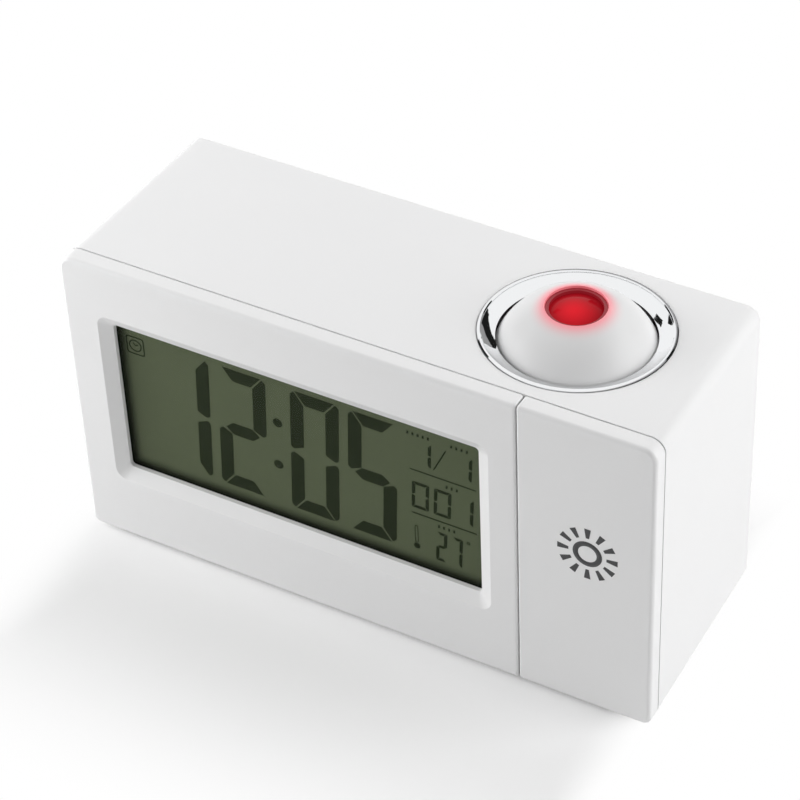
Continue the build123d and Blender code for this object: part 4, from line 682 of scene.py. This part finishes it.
def smooth_copy(node, name):
    """Copy of a node with merged corners, smooth roundings, flat panels and sharp edges."""
    mesh = frame["nodes"][node].data.copy()
    mesh.name = name
    shape = bmesh.new()
    shape.from_mesh(mesh)
    bmesh.ops.remove_doubles(shape, verts=shape.verts, dist=SAME_CORNER)
    if node == "front_bezel":
        widen_window(shape)
        shape.normal_update()
    shape.to_mesh(mesh)
    mesh.shade_smooth()
    mesh.set_sharp_from_angle(angle=SHARP)
    mesh.normals_split_custom_set(corner_normals(shape))
    shape.free()
    piece = add_piece(name, mesh, node)
    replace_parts(piece, node)
    return piece


print("corners merged within", SAME_CORNER / MM, "mm")

# %% Copies of what shows
SHOWN = {
    "housing": "case_moulding", "front_bezel": "bezel_moulding", "projection_key": "push_key_moulding",
    "battery_door": "door_moulding", "chrome_ring": "plated_ring", "ball_upper_shell": "ball_top",
    "ball_lower_shell": "ball_bottom", "lens_barrel": "lens_tube", "projection_lens": "front_lens",
    "display_window": "window_pane", "projector_switch_knob": "switch_slider",
}
# Nodes that come in rows, by how their names start, and two that only start the same way.
ROWS = {"rear_key_": "round_key_", "foot_": "pad_", "battery_cell_": "cell_", "contact_": "nickel_"}
NOT_IN_ROWS = ("rear_key_board", "contact_strip")
CELL_END = 0.9  # faces that look along the cell at least this squarely are its ends


def plate_ends(cell):
    """Show the bare metal can at both ends of a cell, which lies along X."""
    cell.data.materials.append(nickel)
    for face in cell.data.polygons:
        face.material_index = int(abs(face.normal.x) > CELL_END)


for node, name in SHOWN.items():
    smooth_copy(node, name)
for start, own in ROWS.items():
    row = [node for node in frame["nodes"] if node.startswith(start) and node not in NOT_IN_ROWS]
    for node in row:
        piece = smooth_copy(node, node.replace(start, own))
        if start == "battery_cell_":
            plate_ends(piece)

# %% [markdown]
# ## Figures of the display
# The figures are printed electrodes. Each digit is made of seven bars with mitred and pointed ends, and the
# hairlines between them are what makes it look like a display and not like type. One function draws the
# seven bars for any size, and a digit is a choice among them. The bars are flat prisms a few hundredths of
# a millimetre thick, just in front of the film.

# %% Seven bars of a digit
DIGITS = {"0": "abcdef", "1": "bc", "2": "abged", "5": "afgcd", "7": "abc"}


def bars(width, height, stroke, gap):
    """Outlines of the seven bars, in a box from the origin to width and height, cut in shares of a stroke."""
    middle = height / 2
    upper_right = [
        (width - 0.27 * stroke, height - 0.06 * stroke), (width, height - 0.35 * stroke),
        (width, middle + 0.36 * stroke), (width - 0.25 * stroke, middle + 0.13 * stroke),
        (width - stroke, middle + 0.5 * stroke), (width - stroke, height - stroke - gap / 2),
    ]
    top = [
        (0.3 * stroke + gap / 2, height), (width - 0.3 * stroke - gap / 2, height),
        (width - stroke - gap, height - stroke), (stroke + gap, height - stroke),
    ]
    bar = [
        (0.53 * stroke, middle), (1.05 * stroke, middle + stroke / 2),
        (width - 1.1 * stroke, middle + stroke / 2), (width - 0.53 * stroke, middle),
        (width - 1.05 * stroke, middle - stroke / 2), (1.1 * stroke, middle - stroke / 2),
    ]
    across = lambda outline: [(width - px, pz) for px, pz in outline]
    below = lambda outline: [(px, height - pz) for px, pz in outline]
    return {
        "a": top, "b": upper_right, "c": below(upper_right), "d": below(top),
        "e": below(across(upper_right)), "f": across(upper_right), "g": bar,
    }


print("bars of a digit", len(bars(1, 2, 0.3, 0.05)))

# %% Flat prisms in front of the film
FIGURE_FRONT = 0.06 * MM  # how far in front of the film the figures' front faces lie
FIGURE_BACK = 0.02 * MM  # and their back faces
FIGURE_Y = (film_low.y - FIGURE_FRONT, film_low.y - FIGURE_BACK)
figures = bmesh.new()


def corner_loops(outline):
    """Corners of an outline, in front and at the back."""
    return [[figures.verts.new((px * MM, y, pz * MM)) for px, pz in outline] for y in FIGURE_Y]


def prism(outline, hole=None):
    """Add a flat prism across X and Z, solid or with a hole that has as many points as its outline."""
    loops = corner_loops(outline)
    count = len(outline)
    following = [(i, (i + 1) % count) for i in range(count)]
    for i, j in following:
        figures.faces.new((loops[0][i], loops[0][j], loops[1][j], loops[1][i]))
    if hole is None:
        figures.faces.new(loops[0])
        figures.faces.new(loops[1])
        return
    inner = corner_loops(hole)
    for i, j in following:
        figures.faces.new((inner[0][i], inner[0][j], inner[1][j], inner[1][i]))
        for side in (0, 1):
            figures.faces.new((loops[side][i], loops[side][j], inner[side][j], inner[side][i]))


print("figures lie", FIGURE_BACK / MM, "mm in front of the film")

# %% Digits and dots
SLANT = tan(radians(2.8))  # how far a digit leans to the right for each millimetre of height
DISC_SIDES = 24


def write(text, left, bottom, width, height, stroke, gap, pitch=0.0):
    """Write digits from a left edge, one pitch apart, leaning to the right."""
    for i, letter in enumerate(text):
        for name in DIGITS[letter]:
            outline = [(left + i * pitch + px + pz * SLANT, bottom + pz)
                       for px, pz in bars(width, height, stroke, gap)[name]]
            prism(outline)


def disc(x, z, radius):
    """Outline of a disc about a centre."""
    turns = [2 * pi * i / DISC_SIDES for i in range(DISC_SIDES)]
    return [(x + radius * cos(turn), z + radius * sin(turn)) for turn in turns]


print("points of a dot", len(disc(0, 0, 1)))

# %% The time, the date and the temperature, in millimetres
BIG = {"bottom": 25.2, "width": 12.75, "height": 36.35, "stroke": 3.5, "gap": 0.45}
BIG_LEFTS = (-53.9, -38.7, -19.5, -4.4)
COLON = ((-21.7, 50.0), (-22.3, 37.1))
COLON_RADIUS = 1.27
SMALL = {"width": 2.75, "stroke": 0.82, "gap": 0.16}
MIDDLE = {"width": 4.4, "stroke": 0.85, "gap": 0.16}
DEGREE = (27.2, 33.2)

for letter, left in zip("1205", BIG_LEFTS):
    write(letter, left, **BIG)
for x, z in COLON:
    prism(disc(x, z, COLON_RADIUS))
write("11", left=15.4, bottom=52.1, height=7.0, pitch=10.3, **SMALL)
write("27", left=18.65, bottom=24.7, height=8.9, pitch=4.0, **SMALL)
write("001", left=12.8, bottom=38.7, height=8.0, pitch=5.65, **MIDDLE)
prism(disc(*DEGREE, 0.5), hole=disc(*DEGREE, 0.25))
print("bars written", len(figures.faces))

# %% [markdown]
# Beside the figures stand the signs that such displays share: a small clock in a rounded frame for the
# alarm, a thermometer, two rules between the rows, and ticks over each row, where a caption would be.

# %% Outlines of the signs
CORNER_STEPS = 6


def rounded(x, z, width, height, radius):
    """Outline of a rectangle with round corners about a centre."""
    points = []
    for quarter, (side, rise) in enumerate(((1, 1), (-1, 1), (-1, -1), (1, -1))):
        centre_x = x + side * (width / 2 - radius)
        centre_z = z + rise * (height / 2 - radius)
        for i in range(CORNER_STEPS + 1):
            angle = pi / 2 * (quarter + i / CORNER_STEPS)
            points.append((centre_x + radius * cos(angle), centre_z + radius * sin(angle)))
    return points


def stroke_line(start, end, width):
    """Outline of a straight stroke."""
    along = (Vector(end) - Vector(start)).normalized()
    side = Vector((-along.y, along.x)) * width / 2
    ends = ((start, 1), (end, 1), (end, -1), (start, -1))
    return [tuple(Vector(point) + turn * side) for point, turn in ends]


print("points of a round corner", CORNER_STEPS + 1)

# %% Alarm sign, in millimetres
LINE = 0.32  # width of the lines of the alarm's sign
ALARM = (-59.35, 58.8)
ALARM_WIDTH, ALARM_HEIGHT = 4.9, 5.3
DIAL_RADIUS = 1.75
HANDS = ((0.75, 0.5), (-0.55, 0.85))

opening = rounded(*ALARM, ALARM_WIDTH - 2 * LINE, ALARM_HEIGHT - 2 * LINE, 0.45)
prism(rounded(*ALARM, ALARM_WIDTH, ALARM_HEIGHT, 0.7), hole=opening)
prism(disc(*ALARM, DIAL_RADIUS), hole=disc(*ALARM, DIAL_RADIUS - LINE))
for reach, rise in HANDS:
    prism(stroke_line(ALARM, (ALARM[0] + reach, ALARM[1] + rise), LINE * 0.8))
print("faces with the alarm's sign", len(figures.faces))

# %% Rules, ticks and thermometer, in millimetres, and the mesh of all figures
RULES = (50.15, 37.0)  # heights of the rules between the rows
TICKS = ((12.5, 60.8, 5), (23.5, 60.8, 4), (22.0, 48.2, 3), (19.7, 35.3, 4))  # left, height and count
TICK_PITCH = 1.3
TICK_RISE = 0.42  # half of a tick's height
TICK_LEAN = 0.05
BULB = (13.8, 26.9)
TUBE = (13.8, 30.6)

prism(stroke_line((18.9, 52.2), (22.1, 59.0), 0.36))
for z in RULES:
    prism(stroke_line((12.8, z), (29.4, z), 0.34))
for left, z, count in TICKS:
    for i in range(count):
        x = left + i * TICK_PITCH
        prism(stroke_line((x, z - TICK_RISE), (x + TICK_LEAN, z + TICK_RISE), 0.5))
prism(rounded(*TUBE, 0.9, 5.2, 0.4), hole=rounded(*TUBE, 0.56, 4.8, 0.25))
prism(disc(*BULB, 0.85))

bmesh.ops.recalc_face_normals(figures, faces=figures.faces)
figure_mesh = bpy.data.meshes.new("display_figures")
figures.to_mesh(figure_mesh)
figures.free()
dress(figure_mesh, ink)
add_piece("display_figures", figure_mesh, "front_polariser")
print("faces of the figures", len(figure_mesh.polygons))

# %% [markdown]
# ## Sign on the push key
# The key lights the display and throws the time, so it carries a printed lamp sign: a ring with rays. A
# ring with rays is a repeat about a centre, which is what Geometry Nodes are good at. The tree takes the
# number of rays and their sizes as named inputs, shapes one ray that widens outwards, puts a copy on each
# point of a circle, and joins the ring. It is built flat, then stood up against the face of the key.

# %% Helpers for geometry trees
OTHER_INPUTS = {"Rays": "NodeSocketInt", "Places": "NodeSocketGeometry"}  # all the others are numbers


def geometry_tree(name, *inputs):
    """Geometry tree that knows its inputs' identifiers, and its inputs as Fields."""
    group = bpy.data.node_groups.new(name, "GeometryNodeTree")
    group.interface.new_socket("Geometry", in_out="OUTPUT", socket_type="NodeSocketGeometry")
    tree = Tree(group)
    tree.sockets = {}
    for label in inputs:
        kind = OTHER_INPUTS.get(label, "NodeSocketFloat")
        socket = group.interface.new_socket(label, in_out="INPUT", socket_type=kind)
        tree.sockets[label] = socket.identifier
    group_input = group.nodes.new("NodeGroupInput")
    return tree, {label: Field(tree, group_input.outputs[label]) for label in inputs}


def made_by(name, tree, values, start=None):
    """Plain mesh that a geometry tree makes for these inputs, from a starting mesh where it takes one."""
    carrier = add_object(name, start or bpy.data.meshes.new(name))
    modifier = carrier.modifiers.new("tree", "NODES")
    modifier.node_group = tree.tree
    for label, value in values.items():
        modifier[tree.sockets[label]] = value
    bpy.context.view_layer.update()
    shape = carrier.evaluated_get(bpy.context.evaluated_depsgraph_get())
    mesh = bpy.data.meshes.new_from_object(shape)
    mesh.name = name
    bpy.data.objects.remove(carrier)
    return mesh


def finish_tree(tree, shape, material):
    """End a tree in real geometry of one material."""
    real = tree.node("GeometryNodeRealizeInstances", {"Geometry": shape})
    finished = tree.node("GeometryNodeSetMaterial", {"Geometry": real, "Material": material})
    tree.node("NodeGroupOutput", {"Geometry": finished})


def joined(tree, *shapes):
    """Several shapes as one."""
    join = tree.node("GeometryNodeJoinGeometry")
    for shape in shapes:
        tree.tree.links.new(shape.socket, join.socket.node.inputs[0])
    return join


print("tree helpers ready")

# %% One ray that widens outwards
sun, given = geometry_tree("ring_with_rays", "Rays", "Ring radius", "Ring width", "Ray reach", "Ray length",
                           "Foot width", "Tip width", "Thickness")


def tapered_ray():
    """Flat bar along X whose width grows from its foot to its tip."""
    bar_size = sun.vector(X=given["Ray length"], Y=1.0, Z=given["Thickness"])
    bar = sun.node("GeometryNodeMeshCube", {"Size": bar_size})
    x, y, z = sun.parts(sun.node("GeometryNodeInputPosition"))
    share = x / given["Ray length"] + 0.5
    width = given["Foot width"] + (given["Tip width"] - given["Foot width"]) * share
    shaped = sun.vector(X=x, Y=y * width, Z=z)
    return sun.node("GeometryNodeSetPosition", {"Geometry": bar, "Position": shaped})


ray = tapered_ray()
print("inputs", list(given))

# %% Set the rays round the ring
def rays_round_ring():
    """Rays on the points of a circle, turned outwards, and a flat ring inside them."""
    pitch = sun.node("ShaderNodeMath", {0: 2 * pi, 1: given["Rays"]}, operation="DIVIDE")
    middle = given["Ray reach"] - given["Ray length"] * 0.5
    spots = sun.node("GeometryNodeMeshCircle", {"Vertices": given["Rays"], "Radius": middle})
    outwards = sun.vector(Z=sun.node("GeometryNodeInputIndex") * pitch)
    rays = sun.node("GeometryNodeInstanceOnPoints", {"Points": spots, "Instance": ray, "Rotation": outwards})
    circle = sun.node("GeometryNodeCurvePrimitiveCircle", {"Resolution": 64, "Radius": given["Ring radius"]})
    section = sun.node("GeometryNodeCurvePrimitiveQuadrilateral", {
        "Width": given["Ring width"], "Height": given["Thickness"]})
    ring = sun.node("GeometryNodeCurveToMesh", {"Curve": circle, "Profile Curve": section})
    return joined(sun, ring, rays)


print_black = plain("printed_sign", (0.034, 0.034, 0.036), (0.041, 0.041, 0.043), 1 * MM, 0.45)
finish_tree(sun, rays_round_ring(), print_black)
sign_mesh = made_by("key_sign", sun, {
    "Rays": 12, "Ring radius": 2.9 * MM, "Ring width": 1.3 * MM, "Ray reach": 7.3 * MM,
    "Ray length": 2.7 * MM, "Foot width": 0.8 * MM, "Tip width": 1.6 * MM, "Thickness": 0.04 * MM,
})
SIGN_ASIDE = 0.6 * MM  # how far right of the key's middle the sign is printed
SIGN_HEIGHT = 47.5 * MM
key_low, key_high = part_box("projection_key")
SIGN_AT = Vector(((key_low.x + key_high.x) / 2 + SIGN_ASIDE, key_low.y, SIGN_HEIGHT))
sign_mesh.transform(Matrix.Translation(SIGN_AT) @ Matrix.Rotation(pi / 2, 4, "X"))
add_piece("key_sign", sign_mesh, "projection_key")
print("sign faces", len(sign_mesh.polygons))

# %% [markdown]
# ## Screws
# Four long screws close the case from behind and stand deep in their wells; short ones hold the boards, the
# cradle and the two halves of the ball. All are thread forming screws with a pan head and a cross, so one
# tree makes them all: a head with a rounded rim, less a cross, on a shank with a helical ridge. The plain
# solids say where each screw sits, which way its head looks and how large it is.

# %% Where the screws sit
SHANK_FROM = 0.5 * MM  # the shank is measured this far behind the seat and further


def islands(node):
    """Corners of each separate solid of a node."""
    shape = bmesh.new()
    shape.from_mesh(frame["nodes"][node].data)
    bmesh.ops.remove_doubles(shape, verts=shape.verts, dist=SAME_CORNER)
    beside = lambda corner, _: [near for edge in corner.link_edges for near in edge.verts]
    for island in groups(shape.verts, beside):
        yield [corner.co.copy() for corner in island]
    shape.free()


def measure(corners):
    """Seat, aim and sizes of one screw: its seat is the level where the head meets the shank."""
    low, high = [Vector(map(limit, zip(*corners))) for limit in (min, max)]
    along = max(range(3), key=lambda axis: high[axis] - low[axis])
    first, seat_level, last = sorted({round(corner[along], 6) for corner in corners})
    above, below = last - seat_level, seat_level - first
    side = 1 if above < below else -1
    aim = Vector([side * (axis == along) for axis in range(3)])
    seat = (low + high) / 2
    seat[along] = seat_level
    tail = [corner for corner in corners if (corner - seat).dot(aim) < -SHANK_FROM]
    sizes = {
        "Head radius": max(high[axis] - low[axis] for axis in range(3) if axis != along) / 2,
        "Head height": min(above, below),
        "Shank radius": max((corner - seat).cross(aim).length for corner in tail),
        "Shank length": max(above, below),
    }
    return {"seat": seat, "aim": aim, "sizes": sizes}


SCREW_NODES = ("case_screws", "board_screws", "cradle_screws", "ball_screws")
screws = {node: sorted(map(measure, islands(node)), key=lambda pin: pin["seat"][:]) for node in SCREW_NODES}
for node, found in screws.items():
    print(node, len(found), "of radius", round(found[0]["sizes"]["Shank radius"] / MM, 2), "mm")

# %% Head of a screw
screw, given = geometry_tree("cross_head_screw", "Places", "Head radius", "Head height", "Shank radius",
                             "Shank length", "Pitch")


def lifted(shape, height, turn=0.0):
    """A shape moved along Z and turned about it."""
    moved = {"Geometry": shape, "Translation": screw.vector(Z=height), "Rotation": (0, 0, turn)}
    return screw.node("GeometryNodeTransform", moved)


HEAD_DROP = 0.45  # how far the head's rim drops, as a share of its height
SLOT_LENGTH = 1.15  # this and the width are shares of the head's radius
SLOT_WIDTH = 0.24
SECOND_SLOT = 1.04  # depth of the second slot in shares of the first's, so that no two floors share a plane
SEAM_GAP = 0.001 * MM  # corners nearer than this are one, which drops the cuts' slivers


def pan_head():
    """Disc on its seat whose rim drops in a curve, less two slots that make a cross."""
    radius, height = given["Head radius"], given["Head height"]
    head = screw.node("GeometryNodeMeshCylinder", {
        "Vertices": 40, "Fill Segments": 6, "Radius": radius, "Depth": height})
    x, y, z = screw.parts(screw.node("GeometryNodeInputPosition"))
    share = (x * x + y * y) / (radius * radius)
    on_top = z.math("GREATER_THAN", 0.0)
    drop = share * share * height * on_top * -HEAD_DROP
    head = screw.node("GeometryNodeSetPosition", {"Geometry": head, "Offset": screw.vector(Z=drop)})
    head = lifted(head, height * 0.5)
    for turn, deeper in ((0.0, 1.0), (pi / 2, SECOND_SLOT)):
        slot_size = screw.vector(X=radius * SLOT_LENGTH, Y=radius * SLOT_WIDTH, Z=height * deeper)
        slot = lifted(screw.node("GeometryNodeMeshCube", {"Size": slot_size}), height, turn)
        head = screw.node("GeometryNodeMeshBoolean", {0: head, 1: slot},
                          operation="DIFFERENCE", solver="MANIFOLD")
    return screw.node("GeometryNodeMergeByDistance", {"Geometry": head, "Distance": SEAM_GAP})


head = pan_head()
print("inputs", list(given))

# %% Shank with its thread
ROOT = 0.78  # radius between the turns of the thread, as a share of the shank's radius
PITCH = 0.8  # one turn of the thread, as a share of the shank's radius
SIDES = 24  # of the core, and steps in one turn of the thread
GOLDEN = 2.4  # turn from one screw to the next, in radians


def threaded_shank():
    """Cylinder under the seat with a ridge of pointed section wound round it."""
    length, root = given["Shank length"], given["Shank radius"] * ROOT
    core = screw.node("GeometryNodeMeshCylinder", {"Vertices": SIDES, "Radius": root, "Depth": length})
    turns = length / given["Pitch"] - 1.0
    ridge_depth = given["Shank radius"] * (1 - ROOT)
    helix = screw.node("GeometryNodeCurveSpiral", {
        "Resolution": SIDES, "Rotations": turns, "Start Radius": root, "End Radius": root,
        "Height": length - given["Pitch"]})
    helix = screw.node("GeometryNodeSetCurveNormal", {"Curve": helix}, mode="Z_UP")
    section = screw.node("GeometryNodeCurvePrimitiveCircle", {"Resolution": 4, "Radius": ridge_depth})
    ridge = screw.node("GeometryNodeCurveToMesh", {
        "Curve": helix, "Profile Curve": section, "Fill Caps": True})
    ridge = lifted(ridge, given["Pitch"] * 0.5 - length)
    return joined(screw, lifted(core, length * -0.5), ridge)


def screws_in_place():
    """A screw on each place, its head along the place's aim, each turned a little further than the last."""
    one = joined(screw, head, threaded_shank())
    aim = screw.node("GeometryNodeInputNamedAttribute", {"Name": "aim"}, data_type="FLOAT_VECTOR")
    upright = screw.node("FunctionNodeAlignRotationToVector", {"Vector": aim}, axis="Z")
    golden = screw.vector(Z=screw.node("GeometryNodeInputIndex") * GOLDEN)
    both = {"Rotation": upright, "Rotate By": golden}
    turned = screw.node("FunctionNodeRotateRotation", both, rotation_space="LOCAL")
    return screw.node("GeometryNodeInstanceOnPoints", {
        "Points": given["Places"], "Instance": one, "Rotation": turned})


finish_tree(screw, screws_in_place(), zinc)
print("thread wound")

# %% Put the screws in
SCREW_SHARP = radians(30)  # edges of a screw above this angle stay sharp


def drive(node, found):
    """Replace the plain pins of a node with real screws."""
    places = bpy.data.meshes.new(node)
    places.from_pydata([pin["seat"] for pin in found], [], [])
    aims = places.attributes.new("aim", "FLOAT_VECTOR", "POINT")
    for row, pin in zip(aims.data, found):
        row.vector = pin["aim"]
    sizes = found[0]["sizes"]
    sizes["Pitch"] = PITCH * sizes["Shank radius"]
    name = node.replace("screws", "cross_head_screws")
    mesh = made_by(name, screw, sizes, places)
    mesh.shade_smooth()
    mesh.set_sharp_from_angle(angle=SCREW_SHARP)
    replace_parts(add_piece(name, mesh, node), node)
    print(name, len(mesh.polygons), "faces")


for node, found in screws.items():
    drive(node, found)
